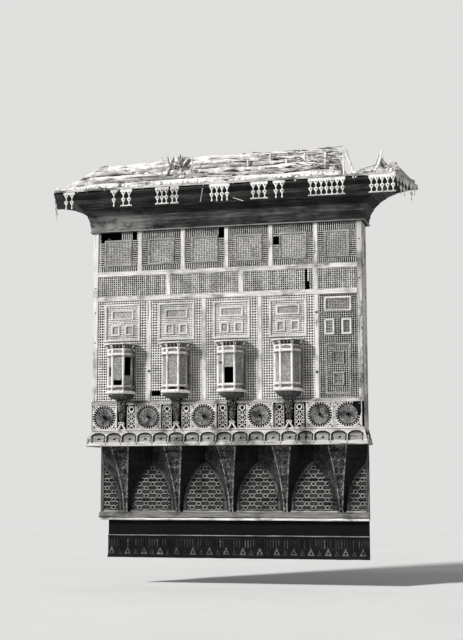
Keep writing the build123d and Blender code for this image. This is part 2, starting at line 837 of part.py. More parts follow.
def cove_mass(inset):
    """The solid under a coved surface, from the head rail to the eaves."""
    out, level = cove_point(0, inset)
    sections = [at_level(splayed_plan(out), UPPER_TOP), at_level(splayed_plan(out), level)]
    for step in range(1, COVE_STEPS + 1):
        out, level = cove_point(radians(90) * step / COVE_STEPS, inset)
        sections.append(at_level(splayed_plan(out), level))
    return faceted_loft(sections)


def cove_top():
    return cove_point(radians(90), COVE_BOARD)[1]


def cornice_cove():
    """The coved boards, with a square lip at the eaves and a bead along the foot."""
    eaves = splayed_plan(COVE_BOARD + COVE_REACH)
    lip = plan_prism(eaves, cove_point(radians(90), 0)[1], cove_top())
    bead_plan = splayed_plan(COVE_BOARD + CORNICE_BEAD)
    bead = plan_prism(bead_plan, UPPER_TOP, UPPER_TOP + CORNICE_BEAD_HEIGHT)
    return cove_mass(0) + lip + bead - cove_mass(COVE_BOARD)


def cornice_parts():
    """The coved boards cut at their mitres into a front and two sides."""
    cove = cornice_cove()
    bottom, top = UPPER_TOP, cove_top()
    corners = splayed_plan(COVE_BOARD + COVE_REACH)[1:3]
    inner = [(-HALF, -POST_FACE), (HALF, -POST_FACE)]
    outer = []
    for eave, post in zip(corners, inner):
        outer.append((2 * eave[0] - post[0], 2 * eave[1] - post[1]))
    wedge = plan_prism([inner[0], outer[0], outer[1], inner[1]], bottom, top)
    front = cove & wedge
    sides = cove - wedge
    left = sides & block((-SCREEN_WIDTH, 0), (-SCREEN_WIDTH, 0), (bottom, top))
    right = sides & block((0, SCREEN_WIDTH), (-SCREEN_WIDTH, 0), (bottom, top))
    return front, left, right


# Roof

def ceiling_boards():
    return block((-HALF, HALF), (-POST_FACE, 0), (HEAD_TOP, HEAD_TOP + DECK_THICKNESS))


def roof_studs():
    """Short uprights that carry the back of the roof."""
    half = ROOF_STUD / 2
    last = HALF - half
    centres = evenly(-last, last, 2 * last / (ROOF_STUDS - 1))
    levels = (HEAD_TOP + DECK_THICKNESS, cove_top() - ROOF_STUD)
    return [block((x - half, x + half), (-ROOF_STUD, 0), levels) for x in centres]


def roof_wall_plate():
    return block((-HALF, HALF), (-ROOF_STUD, 0), (cove_top() - ROOF_STUD, cove_top()))


def roof_plan(grow=0):
    plan = splayed_plan(COVE_BOARD + COVE_REACH)
    return [
        (plan[0][0] - grow, 0),
        (plan[1][0] - grow, plan[1][1] - grow),
        (plan[2][0] + grow, plan[2][1] - grow),
        (plan[3][0] + grow, 0),
    ]


def roof_deck():
    return plan_prism(roof_plan(DECK_LIP), cove_top(), cove_top() + DECK_THICKNESS)


def roof_front(x):
    """How far the roof reaches from the wall at a place along it."""
    wall_left, front_left, front_right, wall_right = roof_plan()
    if x < front_left[0]:
        return -front_left[1] * (x - wall_left[0]) / (front_left[0] - wall_left[0])
    if x > front_right[0]:
        return -front_right[1] * (wall_right[0] - x) / (wall_right[0] - front_right[0])
    return -front_left[1]


def round_section(x, y, level, radius):
    angles = [2 * pi * i / POLE_SIDES for i in range(POLE_SIDES)]
    return [(x + radius * cos(a), y + radius * sin(a), level) for a in angles]


def roof_poles():
    """Bare stakes that lean a little and stand on the deck near the eaves."""
    base = cove_top() + DECK_THICKNESS
    y = POLE_SETBACK - POST_FACE - COVE_BOARD - COVE_REACH
    poles = []
    for place, lean, rise in POLES:
        x = place * (HALF + EAVE_AT_WALL)
        foot = round_section(x, y, base, POLE_RADIUS)
        head = round_section(x + lean * POLE_LENGTH, y, base + rise * POLE_LENGTH, POLE_RADIUS / 2)
        poles.append(faceted_loft([foot, head]))
    return poles


def roof_fill():
    """Daub over reeds: a steep front slope up to an uneven crest along the wall."""
    base = cove_top() + DECK_THICKNESS
    reach = HALF + EAVE_AT_WALL
    sections = []
    for place, rise in ROOF_CRESTS:
        x, crest = place * reach, rise * ROOF_HEIGHT
        front = roof_front(x)
        slope = min(ROOF_SLOPE, front * ROOF_SLOPE_SHARE)
        outline = [(-front, base), (-front, base + min(ROOF_EDGE, crest / 2))]
        outline += [(slope - front, base + crest), (0, base + crest), (0, base)]
        sections.append([(x, y, z) for y, z in outline])
    return faceted_loft(sections) - roof_poles()


def fringe_outline(left, right, top):
    """A strip with a row of pointed drops along its lower edge."""
    shoulder, tip = top - FRINGE_HEIGHT * FRINGE_SHOULDER, top - FRINGE_HEIGHT
    edge = evenly(left, right, FRINGE_DROP)
    points = [(left, top), (left, shoulder)]
    for low, high in zip(edge, edge[1:]):
        points += [((low + high) / 2, tip), (high, shoulder)]
    return Polygon(*points, (right, top), align=None)


def fringe_side(start, stop, shares):
    """The lengths left along one eave, which runs from one plan corner to the next."""
    run = Vector(*stop) - Vector(*start)
    along = run.normalized()
    outward = Vector(along.Y, -along.X)
    plane = Plane(origin=Vector(*start), x_dir=along, z_dir=outward)
    lengths = []
    for low, high in shares:
        outline = fringe_outline(low * run.length, high * run.length, cove_top())
        lengths.append(extrude(plane * outline, FRINGE_THICKNESS, dir=tuple(outward)))
    return lengths


def eave_fringe():
    """Lengths of pierced drops left under the edges of the roof."""
    wall_left, front_left, front_right, wall_right = splayed_plan(COVE_BOARD + COVE_REACH)
    lengths = fringe_side(front_left, front_right, FRONT_FRINGE)
    lengths += fringe_side(wall_left, front_left, LEFT_FRINGE)
    lengths += fringe_side(front_right, wall_right, RIGHT_FRINGE)
    return lengths


def build():
    os.makedirs("parts", exist_ok=True)
    write("wall_beam", wall_beam())
    write("front_beam", front_beam())
    write("floor_joists", *joists())
    write("floor_boards", floor_boards())
    write("rosette_band", rosette_band())
    write("side_bands", *side_bands())
    write("sill", sill())
    write("side_sills", *side_sills())
    write("corner_post_left", corner_post(-1))
    write("corner_post_right", corner_post(1))
    write("wall_posts", *wall_posts())
    write("lower_rail", *rail(MAIN_TOP, MIDDLE_BOTTOM))
    write("upper_rail", *rail(MIDDLE_TOP, UPPER_BOTTOM))
    front, back, left, right = head_frame()
    write("head_rail", front, back)
    write("side_head_rails", left, right)
    registers = {
        "main_mullions": (MAIN_FIRST, MAIN_LAST, MAIN_MULLIONS, SILL_TOP, MAIN_TOP),
        "middle_mullions": (MIDDLE_FIRST, MIDDLE_LAST, MIDDLE_MULLIONS, MIDDLE_BOTTOM, MIDDLE_TOP),
        "upper_mullions": (UPPER_FIRST, UPPER_LAST, UPPER_MULLIONS, UPPER_BOTTOM, UPPER_TOP),
    }
    for name, row in registers.items():
        write(name, *mullion_row(*row))
    for index in range(MAIN_MULLIONS):
        write(f"main_lattice_{index + 1}", main_lattice(index))
        write(f"oriel_{index + 1}", oriel(index))
    write("narrow_lattice", narrow_lattice())
    write("middle_lattices", *middle_lattices())
    write("upper_lattices", *upper_lattices())
    left_side = side_lattices()
    write("side_lattices_left", *left_side)
    write("side_lattices_right", *[sheet.mirror(Plane.YZ) for sheet in left_side])
    write("oriel_cornices", *[oriel_cornice(i) for i in range(MAIN_MULLIONS)])
    write("oriel_pendants", *[oriel_pendant(i) for i in range(MAIN_MULLIONS)])
    write("scalloped_skirt", scalloped_skirt())
    for index in range(BRACKETS):
        write(f"bracket_{index + 1}", bracket(index))
    write("arched_panel", arched_panel())
    write("ledge", ledge())
    write("recess_board", recess_board())
    write("carved_fascia", carved_fascia())
    front, left, right = cornice_parts()
    write("cornice_front", front)
    write("cornice_left", left)
    write("cornice_right", right)
    write("ceiling_boards", ceiling_boards())
    write("roof_studs", *roof_studs())
    write("roof_wall_plate", roof_wall_plate())
    write("roof_deck", roof_deck())
    write("roof_fill", roof_fill())
    write("roof_poles", *roof_poles())
    write("eave_fringe", *eave_fringe())


build()
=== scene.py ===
import math
import random

import bmesh
import bpy
import numpy as np
from mathutils import Matrix, Vector, noise


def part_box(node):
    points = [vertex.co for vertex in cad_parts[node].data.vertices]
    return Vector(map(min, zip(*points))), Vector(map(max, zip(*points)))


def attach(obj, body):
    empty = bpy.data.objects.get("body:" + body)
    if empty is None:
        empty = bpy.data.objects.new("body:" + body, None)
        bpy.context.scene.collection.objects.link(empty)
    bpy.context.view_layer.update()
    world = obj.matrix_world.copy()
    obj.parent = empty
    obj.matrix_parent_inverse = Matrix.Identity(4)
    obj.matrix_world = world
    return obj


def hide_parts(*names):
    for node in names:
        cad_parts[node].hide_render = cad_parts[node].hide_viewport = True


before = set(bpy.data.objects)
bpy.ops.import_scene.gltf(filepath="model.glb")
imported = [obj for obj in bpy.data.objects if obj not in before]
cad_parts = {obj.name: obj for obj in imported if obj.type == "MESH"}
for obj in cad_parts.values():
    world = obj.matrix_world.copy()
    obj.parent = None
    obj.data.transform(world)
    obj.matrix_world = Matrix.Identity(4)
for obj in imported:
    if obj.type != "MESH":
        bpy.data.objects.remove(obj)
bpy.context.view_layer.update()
random.seed(7)

# Camera of the photograph, in metres and degrees
CAMERA_PLACE = (4.99, -21.01, -0.81)
CAMERA_TURN = 13.38
CAMERA_RISE = 7.19
CAMERA_ROLL = -0.15
IMAGE_HEIGHT = 640
FOCAL_PIXELS = 1253.8
SENSOR = 36
VIEW_END = 300

# Planes and levels read from the frame
POST_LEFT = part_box("corner_post_left")
POST_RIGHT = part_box("corner_post_right")
HALF = POST_RIGHT[1].x
POST_FACE = -POST_RIGHT[0].y
LATTICE_FACE = -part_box("middle_lattices")[0].y
LATTICE_BACK = -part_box("middle_lattices")[1].y
BAND_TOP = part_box("rosette_band")[1].z
BAND_FACE = -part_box("rosette_band")[0].y
SILL_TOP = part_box("sill")[1].z


def wave(x, y=0.0, z=0.0):
    """Smooth noise from about -1 to 1."""
    return noise.noise(Vector((x, y, z)))


def inset(span, amount):
    """A span drawn in at both ends."""
    return (span[0] + amount, span[1] - amount)


# Meshes

class Heap:
    """Points and faces gathered for one piece, with a material for each face."""

    def __init__(self):
        self.points = []
        self.faces = []
        self.finish = []

    def add(self, points, faces, finish=None):
        start = len(self.points)
        self.points.extend(tuple(map(float, p)) for p in points)
        self.faces.extend(tuple(start + i for i in face) for face in faces)
        self.finish.extend([finish] * len(faces))

    def on(self, board, shape, finish=None, shift=(0, 0, 0)):
        """A shape's points and faces, set on a board."""
        points, faces = shape
        self.add(board.put(np.asarray(points) + shift), faces, finish)

    def piece(self, name, materials, slot, nodes=()):
        """The mesh; faces with no finish of their own have the first material."""
        mesh = bpy.data.meshes.new(name)
        mesh.from_pydata(self.points, [], self.faces)
        for material in materials:
            mesh.materials.append(material)
        order = {material: i for i, material in enumerate(materials)}
        mesh.polygons.foreach_set("material_index", [order.get(finish, 0) for finish in self.finish])
        mesh.validate()
        shell = bmesh.new()
        shell.from_mesh(mesh)
        bmesh.ops.recalc_face_normals(shell, faces=shell.faces)
        shell.to_mesh(mesh)
        shell.free()
        piece = bpy.data.objects.new(name, mesh)
        bpy.context.scene.collection.objects.link(piece)
        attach(piece, "root")
        if nodes:
            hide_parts(*nodes)


class Board:
    """A flat place to build on: u to the right, v up and w out of it."""

    def __init__(self, origin, right, up, out):
        self.origin = np.array(origin, float)
        self.axes = np.array([right, up, out], float)

    def put(self, points):
        return self.origin + np.asarray(points, float) @ self.axes


def front_board(depth):
    return Board((0, -depth, 0), (1, 0, 0), (0, 0, 1), (0, -1, 0))


def lathe(profile, sides, turn=0.0):
    """A turned shape about the v axis from (v, radius) pairs, with no end caps."""
    points, faces = [], []
    for v, radius in profile:
        for i in range(sides):
            angle = turn + math.tau * i / sides
            points.append((radius * math.cos(angle), v, radius * math.sin(angle)))
    for ring in range(len(profile) - 1):
        for i in range(sides):
            j = (i + 1) % sides
            low, high = ring * sides, (ring + 1) * sides
            faces.append((low + i, high + i, high + j, low + j))
    return points, faces


def swapped(points):
    """The same shape lying along u instead of v."""
    return [(v, -u, w) for u, v, w in points]


def box_shape(u, v, w):
    points = [(a, b, c) for a in u for b in v for c in w]
    faces = [(0, 1, 3, 2), (4, 6, 7, 5), (0, 4, 5, 1), (2, 3, 7, 6), (0, 2, 6, 4), (1, 5, 7, 3)]
    return points, faces


def slab(heap, board, u, v, w, finish=None):
    heap.on(board, box_shape(u, v, w), finish)


def rings(loops, closed=True, caps=True):
    """Quads between loops of as many points each, with the first and last loop closed."""
    count = len(loops[0])
    points = [p for loop in loops for p in loop]
    faces = []
    last = count if closed else count - 1
    for k in range(len(loops) - 1):
        for i in range(last):
            j = (i + 1) % count
            faces.append((k * count + i, k * count + j, (k + 1) * count + j, (k + 1) * count + i))
    if caps:
        faces.append(tuple(range(count))[::-1])
        faces.append(tuple(range((len(loops) - 1) * count, len(loops) * count)))
    return points, faces


def prism(outline, low, high):
    """A flat outline carried from one height over its board to another."""
    return rings([[(u, v, w) for u, v in outline] for w in (low, high)])


def raised(outline, low, high, bevel):
    """A flat shape with a bevelled edge; the outline runs anticlockwise."""
    centre_u = sum(p[0] for p in outline) / len(outline)
    centre_v = sum(p[1] for p in outline) / len(outline)
    inner = []
    for u, v in outline:
        span = math.hypot(u - centre_u, v - centre_v) or 1
        share = max(0, 1 - bevel / span)
        inner.append((centre_u + (u - centre_u) * share, centre_v + (v - centre_v) * share, high))
    loops = [[(u, v, low) for u, v in outline], [(u, v, high - bevel) for u, v in outline], inner]
    points, faces = rings(loops)
    return points, faces[:-2] + faces[-1:]


def circle(u, v, radius, steps=16, start=0.0, stop=math.tau):
    return [(u + radius * math.cos(a), v + radius * math.sin(a)) for a in np.linspace(start, stop, steps + 1)]


def boss(u, v, radius, sides, low, high, bevel):
    """A small round knob, or the plug that stands for a hole, which is painted black as the shade in it."""
    return raised(circle(u, v, radius, sides)[:-1], low, high, bevel)


def ribbon(path, width, low, high, taper=0.6):
    """A raised strip along a flat path; a path that returns to its start is closed."""
    path = [np.array(p[:2], float) for p in path]
    closed = np.allclose(path[0], path[-1])
    loops = []
    for k, point in enumerate(path):
        before = path[k - 1] if k else (path[-2] if closed else point)
        after = path[k + 1] if k + 1 < len(path) else (path[1] if closed else point)
        along = after - before
        along = along / (np.linalg.norm(along) or 1)
        across = np.array([-along[1], along[0]]) * width / 2
        edges = ((across, low), (across * taper, high), (-across * taper, high), (-across, low))
        loops.append([(*(point + side), w) for side, w in edges])
    return rings(loops, closed=True, caps=not closed)


def moulded_frame(u, v, width, low, high):
    """A mitred frame inside a rectangle, with rounded edges."""
    edge = width * 0.25
    steps = [(0, low), (0, high - edge), (edge, high)]
    steps += [(width - edge, high), (width, high - edge), (width, low)]
    loops = []
    for inward, w in steps:
        left, right = inset(u, inward)
        foot, head = inset(v, inward)
        loops.append([(left, foot, w), (right, foot, w), (right, head, w), (left, head, w)])
    loops.append(loops[0])
    return rings(loops, caps=False)


# Lattices: turned bars one way and plainer bars across them

class Kind:
    """The pitch of a lattice, the radii of its beads, necks and cross bars, how many sides
    its uprights have and how much their widths vary."""

    def __init__(self, pitch, ball, neck, cross, sides=4, uneven=0):
        self.pitch = pitch
        self.ball = ball
        self.neck = neck
        self.cross = cross
        self.sides = sides
        self.uneven = uneven


COARSE = Kind((0.0425, 0.0435), 0.0152, 0.0075, 0.0092, sides=6)
MEDIUM = Kind((0.036, 0.036), 0.0102, 0.0045, 0.0042)
FINE = Kind((0.029, 0.029), 0.0118, 0.0070, 0.0050)
LINED = Kind((0.028, 0.031), 0.0100, 0.0055, 0.0094)
SCREEN = Kind((0.0165, 0.0165), 0.0066, 0.0050, 0.0045)
STREAKED = Kind((0.037, 0.037), 0.0140, 0.0085, 0.0066, uneven=0.4)
HATCHED = Kind((0.026, 0.026), 0.0070, 0.0034, 0.0033)
SQUARED = math.pi / 4
SPINDLE_PITCH = 0.034
SPINDLE_RADIUS = 0.0115
SPINDLE_WAIST = SPINDLE_RADIUS * 0.55
SPINDLE_BEAD = 0.036


def bead_profile(half, ball, neck):
    rise = min(ball * 0.45, half * 0.4)
    foot = min(ball * 0.95, half * 0.8)
    return [(-half, neck), (-foot, neck), (-rise, ball), (rise, ball), (foot, neck), (half, neck)]


def fitted(low, high, pitch):
    """How many whole steps fit between two limits, and how long each is."""
    count = max(1, round((high - low) / pitch))
    return count, (high - low) / count


def inside(place, gaps):
    """Whether a place falls in one of the gaps, each a span across and a span upward."""
    return any(a < place[0] < b and c < place[1] < d for a, b, c, d in gaps)


def lattice(heap, board, u, v, kind, gaps=(), depth=0.0, finish=None):
    """Fills a rectangle, leaving out the crossings that fall in a gap."""
    columns, step_u = fitted(*u, kind.pitch[0])
    rows, step_v = fitted(*v, kind.pitch[1])
    turn = SQUARED if kind.sides == 4 else 0
    upright, upright_faces = lathe(bead_profile(step_v / 2, kind.ball, kind.neck), kind.sides, turn)
    cross, cross_faces = lathe([(-step_u / 2, kind.cross), (step_u / 2, kind.cross)], 4, SQUARED)
    cross = swapped(cross)
    places = []
    for i in range(columns):
        swell = 1 + kind.uneven * random.uniform(-1, 1)
        for j in range(rows):
            place = (u[0] + (i + 0.5) * step_u, v[0] + (j + 0.5) * step_v, -depth)
            if not inside(place, gaps):
                places.append((place, swell))
    for place, swell in places:
        heap.on(board, (np.asarray(upright) * (swell, 1, 1), upright_faces), finish, place)
    for place, _ in places:
        heap.on(board, (cross, cross_faces), finish, place)


def spindles(heap, board, u, v, upright=True, gaps=(), depth=0.0):
    """A row of turned spindles with no bars across them."""
    along, across = (v, u) if upright else (u, v)
    count, step = fitted(*across, SPINDLE_PITCH)
    half = (along[1] - along[0]) / 2
    profile = []
    beads = max(2, round(2 * half / SPINDLE_BEAD))
    for k in range(beads):
        low = -half + 2 * half * k / beads
        high = -half + 2 * half * (k + 1) / beads
        profile += [(low, SPINDLE_WAIST), ((low + high) / 2, SPINDLE_RADIUS)]
    profile.append((half, SPINDLE_WAIST))
    shape, faces = lathe(profile, 4, SQUARED)
    if not upright:
        shape = swapped(shape)
    middle = (along[0] + along[1]) / 2
    for i in range(count):
        at = across[0] + (i + 0.5) * step
        place = (at, middle) if upright else (middle, at)
        if not inside(place, gaps):
            heap.on(board, (shape, faces), shift=(*place, -depth))


# Finishes

SHEEN = 0.16
SPLIT_STRETCH = 1.8
GRAIN_STEPS = (0.3, 0.5, 0.68)
PALER_SPAN = (-1.0, -1.7)
PALER_LEVELS = (3.85, 3.55)
PALER_SHARE = 0.20
EVEN = (1, 1, 1)
ALONG_X = (1.2, 26, 26)
ALONG_Y = (26, 1.2, 26)
ALONG_Z = (26, 26, 1.2)


def grey(level):
    """A neutral grey as the photograph shows it, from its display level to the shader's."""
    value = level / 12.92 if level <= 0.04045 else ((level + 0.055) / 1.055) ** 2.4
    return (value, value * 0.992, value * 0.98, 1)


class Nodes:
    """Shorthand for one material's node tree."""

    def __init__(self, name, roughness=0.85):
        self.material = bpy.data.materials.new(name)
        self.material.use_nodes = True
        self.tree = self.material.node_tree
        self.shader = self.tree.nodes["Principled BSDF"]
        self.shader.inputs["Roughness"].default_value = roughness
        self.shader.inputs["Specular IOR Level"].default_value = SHEEN
        self.place = self.new("ShaderNodeTexCoord").outputs["Object"]

    def new(self, kind, **values):
        node = self.tree.nodes.new(kind)
        for key, value in values.items():
            setattr(node, key, value)
        return node

    def link(self, start, end):
        self.tree.links.new(start, end)

    def noise(self, stretch, scale=1.0, detail=5.0, rough=0.6):
        mapping = self.new("ShaderNodeMapping")
        mapping.inputs["Scale"].default_value = stretch
        self.link(self.place, mapping.inputs["Vector"])
        texture = self.new("ShaderNodeTexNoise")
        for socket, value in (("Scale", scale), ("Detail", detail), ("Roughness", rough)):
            texture.inputs[socket].default_value = value
        self.link(mapping.outputs["Vector"], texture.inputs["Vector"])
        return texture.outputs["Fac"]

    def ramp(self, source, *stops):
        node = self.new("ShaderNodeValToRGB")
        band = node.color_ramp
        while len(band.elements) < len(stops):
            band.elements.new(0.5)
        for element, (place, level) in zip(band.elements, stops):
            element.position = place
            element.color = grey(level)
        self.link(source, node.inputs["Fac"])
        return node.outputs["Color"]

    def mix(self, first, second, share=1.0, blend="MULTIPLY"):
        node = self.new("ShaderNodeMix", data_type="RGBA", blend_type=blend)
        node.inputs["Factor"].default_value = share
        self.link(first, node.inputs["A"])
        self.link(second, node.inputs["B"])
        return node.outputs["Result"]

    def fade(self, source, limits):
        """From 0 at the first limit to 1 at the second."""
        node = self.new("ShaderNodeMapRange")
        self.link(source, node.inputs["Value"])
        for socket, value in zip(("From Min", "From Max"), limits):
            node.inputs[socket].default_value = value
        return node.outputs["Result"]

    def colour(self, source):
        self.link(source, self.shader.inputs["Base Color"])

    def bump(self, source, strength, distance):
        node = self.new("ShaderNodeBump")
        node.inputs["Strength"].default_value = strength
        node.inputs["Distance"].default_value = distance
        self.link(source, node.inputs["Height"])
        self.link(node.outputs["Normal"], self.shader.inputs["Normal"])


def timber(name, along, dark, middle, pale, patch=0.75):
    """Old wood: grain along one axis, large stains and thin dark splits."""
    nodes = Nodes(name, 0.88)
    grain = nodes.noise(along, 2.2, 6, 0.62)
    stain = nodes.noise(EVEN, 2.3, 4, 0.6)
    split = nodes.noise(tuple(v * SPLIT_STRETCH for v in along), 1.0, 3, 0.5)
    body = nodes.ramp(grain, *zip(GRAIN_STEPS, (dark, middle, pale)))
    spots = nodes.ramp(stain, (0.36, patch), (0.5, 1.0))
    cracks = nodes.ramp(split, (0.31, 0.45), (0.36, 1.0))
    nodes.colour(nodes.mix(nodes.mix(body, spots), cracks))
    nodes.bump(grain, 0.5, 0.004)
    return nodes.material


def paler_low_left_timber(name, dark, middle, pale):
    """Shaded boards, paler towards the left end and towards the foot."""
    nodes = Nodes(name, 0.9)
    grain = nodes.noise(ALONG_X, 2.2, 6, 0.62)
    body = nodes.ramp(grain, *zip(GRAIN_STEPS, (dark, middle, pale)))
    stain = nodes.noise((1.0, 1.0, 2.0), 2.6, 5, 0.65)
    parts = nodes.new("ShaderNodeSeparateXYZ")
    nodes.link(nodes.place, parts.inputs["Vector"])
    along = nodes.fade(parts.outputs["X"], PALER_SPAN)
    low = nodes.fade(parts.outputs["Z"], PALER_LEVELS)
    paler = nodes.mix(nodes.mix(along, low), nodes.ramp(stain, (0.34, 0.1), (0.52, 1.0)))
    streaked = nodes.mix(body, paler, PALER_SHARE, "SCREEN")
    nodes.colour(nodes.mix(streaked, nodes.ramp(stain, (0.36, 0.7), (0.5, 1.0))))
    nodes.bump(grain, 0.5, 0.004)
    return nodes.material


def turned_wood(name, dark, pale, patch=0.85):
    """Small pieces: the tone changes from one to the next, with fine grain on each."""
    nodes = Nodes(name, 0.8)
    each = nodes.noise(EVEN, 38, 2, 0.5)
    broad = nodes.noise(EVEN, 3.2, 4, 0.6)
    tone = nodes.ramp(each, (0.34, dark), (0.62, pale))
    nodes.colour(nodes.mix(tone, nodes.ramp(broad, (0.38, patch), (0.54, 1.0))))
    nodes.bump(nodes.noise(ALONG_Z, 6, 3), 0.3, 0.001)
    return nodes.material


def speckled(name, dark, pale, share):
    """Worn carving: small pale crumbs and painted highlights over a dark ground."""
    nodes = Nodes(name, 0.9)
    crumbs = nodes.noise(EVEN, 44, 5, 0.7)
    broad = nodes.noise(EVEN, 6.5, 4, 0.6)
    tone = nodes.ramp(crumbs, (share - 0.06, dark), (share + 0.10, pale))
    nodes.colour(nodes.mix(tone, nodes.ramp(broad, (0.38, 0.55), (0.56, 1.0))))
    nodes.bump(crumbs, 0.6, 0.004)
    return nodes.material


def daub(name, dark, pale):
    """Mud plaster with straw, dust and cracks."""
    nodes = Nodes(name, 0.95)
    broad = nodes.noise((1, 1, 1.6), 3.4, 8, 0.65)
    fine = nodes.noise(EVEN, 42, 6, 0.7)
    layer = nodes.noise((1.2, 1.2, 16), 2.0, 5, 0.6)
    tone = nodes.ramp(broad, (0.34, dark), (0.47, pale), (0.7, 0.97))
    lines = nodes.ramp(layer, (0.36, 0.62), (0.45, 1.0))
    specks = nodes.ramp(fine, (0.33, 0.7), (0.45, 1.0))
    nodes.colour(nodes.mix(nodes.mix(tone, lines), specks, 0.7))
    nodes.bump(nodes.noise(EVEN, 16, 8, 0.7), 0.8, 0.02)
    return nodes.material


# Each wood by its dark, middle and pale grain, and how dark its stains are
POST_WOOD = timber("bleached_upright", ALONG_Z, 0.68, 0.84, 0.94)
RIGHT_POST = timber("darker_right_upright", ALONG_Z, 0.52, 0.70, 0.86, 0.6)
RAIL_WOOD = timber("bleached_level", ALONG_X, 0.54, 0.82, 0.97, 0.66)
SILL_WOOD = timber("sill_wood", ALONG_X, 0.42, 0.66, 0.90, 0.5)
DEPTH_WOOD = timber("bleached_depth", ALONG_Y, 0.66, 0.80, 0.90)
FRAME_WOOD = timber("field_frame_wood", ALONG_X, 0.72, 0.86, 0.94, 0.85)
GREY_FRAME = timber("grey_frame_wood", ALONG_X, 0.46, 0.60, 0.74, 0.75)
PALE_CARVING = timber("pale_carving", ALONG_X, 0.62, 0.84, 0.95, 0.58)
GREY_CARVING = timber("grey_carving", ALONG_X, 0.40, 0.54, 0.68, 0.75)
SKIRT_WOOD = timber("skirt_wood", ALONG_X, 0.50, 0.74, 0.88, 0.62)
SHELL_WOOD = timber("shell_wood", ALONG_X, 0.40, 0.56, 0.72, 0.7)
# Painted shade on the shells of the skirt, and the colour of knots and nail heads.
SHELL_SHADE_AND_KNOT = timber("shell_painted_shade_and_knot", ALONG_X, 0.20, 0.32, 0.46, 0.7)
# Black: painted shade in holes, grooves, cracks, gaps and linings, and the colour of dark joints.
SHADE_AND_JOINT_BLACK = timber("painted_shade_and_joint_black", ALONG_X, 0.01, 0.025, 0.05)
ORIEL_PALE = timber("oriel_pale", ALONG_Z, 0.78, 0.91, 0.97, 0.82)
ORIEL_DARK = timber("oriel_dark", ALONG_Z, 0.16, 0.26, 0.42, 0.7)
RIB_WOOD = timber("rib_wood", ALONG_Z, 0.20, 0.32, 0.44, 0.7)
# Painted shade for the right flanks of the brackets.
BRACKET_SHADED_SIDE = timber("bracket_painted_shade_side", ALONG_Z, 0.05, 0.10, 0.18, 0.6)
PANEL_WOOD = timber("panel_wood", ALONG_X, 0.46, 0.63, 0.80, 0.7)
PANEL_GROUND = timber("panel_ground", ALONG_X, 0.12, 0.18, 0.27, 0.7)
LEDGE_WOOD = timber("ledge_wood", ALONG_X, 0.34, 0.46, 0.6, 0.6)
LEDGE_EDGE = timber("ledge_edge", ALONG_X, 0.72, 0.9, 0.98, 0.5)
FASCIA_WOOD = timber("fascia_wood", ALONG_X, 0.04, 0.07, 0.13, 0.7)
FASCIA_EDGE = timber("fascia_edge", ALONG_X, 0.24, 0.36, 0.54, 0.6)
FLUTE_WOOD = timber("flute_wood", ALONG_Z, 0.14, 0.23, 0.34, 0.6)
EAVE_WOOD = timber("eave_wood", ALONG_X, 0.5, 0.75, 0.92, 0.5)
POLE_WOOD = timber("pole_wood", ALONG_Z, 0.80, 0.92, 0.98, 0.85)
ROUGH_WOOD = timber("rough_timber", ALONG_X, 0.26, 0.36, 0.46)
# Near black: painted shade for the head rail and the beams and boards inside the box.
INTERIOR_SHADE_WOOD = timber("interior_painted_shade_timber", ALONG_X, 0.03, 0.05, 0.09)
REED = timber("reed", ALONG_X, 0.20, 0.44, 0.74)
COVE_WOOD = paler_low_left_timber("cove_wood", 0.13, 0.20, 0.36)
COVE_WORN = paler_low_left_timber("cove_worn", 0.18, 0.27, 0.42)
COVE_DARK = paler_low_left_timber("cove_dark", 0.10, 0.15, 0.25)

# Turned pieces by their darkest and palest, and carved ones by ground, crumbs and their share
LATTICE_WOOD = turned_wood("lattice_wood", 0.80, 0.98)
SCREEN_WOOD = turned_wood("screen_wood", 0.54, 0.76)
GREY_LATTICE = turned_wood("grey_lattice_wood", 0.62, 0.86)
FRINGE_WOOD = turned_wood("fringe_wood", 0.80, 0.97, 0.8)
STEM_WOOD = speckled("stem_wood", 0.06, 0.66, 0.54)
DISC_WOOD = speckled("rosette_wood", 0.24, 0.58, 0.46)
BRACKET_WOOD = speckled("bracket_wood", 0.12, 0.52, 0.50)
BRACKET_RIB = speckled("bracket_rib", 0.22, 0.72, 0.48)
# Painted light for the left flanks of the brackets.
BRACKET_LIT = speckled("bracket_lit_side", 0.06, 0.34, 0.50)
DAUB = daub("roof_daub", 0.56, 0.94)
OLD_DAUB = daub("old_daub", 0.32, 0.66)


def coat(material, *names):
    for name in names:
        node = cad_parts[name]
        node.data.materials.clear()
        node.data.materials.append(material)


# Posts, rails and mullions

TIMBER_STEP = 0.05
CHIPPED_EDGE = 0.003
ROUGH_FACE = 0.002

# The axes that a timber can follow
LEVEL = 0
OUTWARD = 1
UPRIGHT = 2


def split_away(at, index, seed, wear):
    """How much of one edge is lost at a place, from (low, high, depth, edge) lengths of wear."""
    torn = max(0.0, wave(at * 21, seed, 4.0) + 0.35)
    return sum(depth * torn for low, high, depth, edge in wear if low < at < high and edge == index)


def timber_length(heap, low, high, along, seed, chips=0.006, steps=None, wear=()):
    """A squared timber with softened, chipped edges and a slightly uneven face."""
    length = high[along] - low[along]
    count = steps or max(6, round(length / TIMBER_STEP))
    across = [axis for axis in range(3) if axis != along]
    loops = []
    for k in range(count + 1):
        at = low[along] + length * k / count
        loop = []
        for index, ends in enumerate(((0, 0), (1, 0), (1, 1), (0, 1))):
            cut = CHIPPED_EDGE + chips * max(0.0, wave(at * 5, seed + index * 7.3, 0.5))
            cut += split_away(at, index, seed, wear)
            rough = ROUGH_FACE + abs(0.0015 * wave(at * 3, seed + 3.1 * index + 9))
            pairs = [(rough, cut), (cut, rough)]
            for pair in reversed(pairs) if index % 2 else pairs:
                point = [at, at, at]
                for axis, end, inset in zip(across, ends, pair):
                    point[axis] = high[axis] - inset if end else low[axis] + inset
                loop.append(tuple(point))
        loops.append(loop)
    heap.add(*rings(loops))


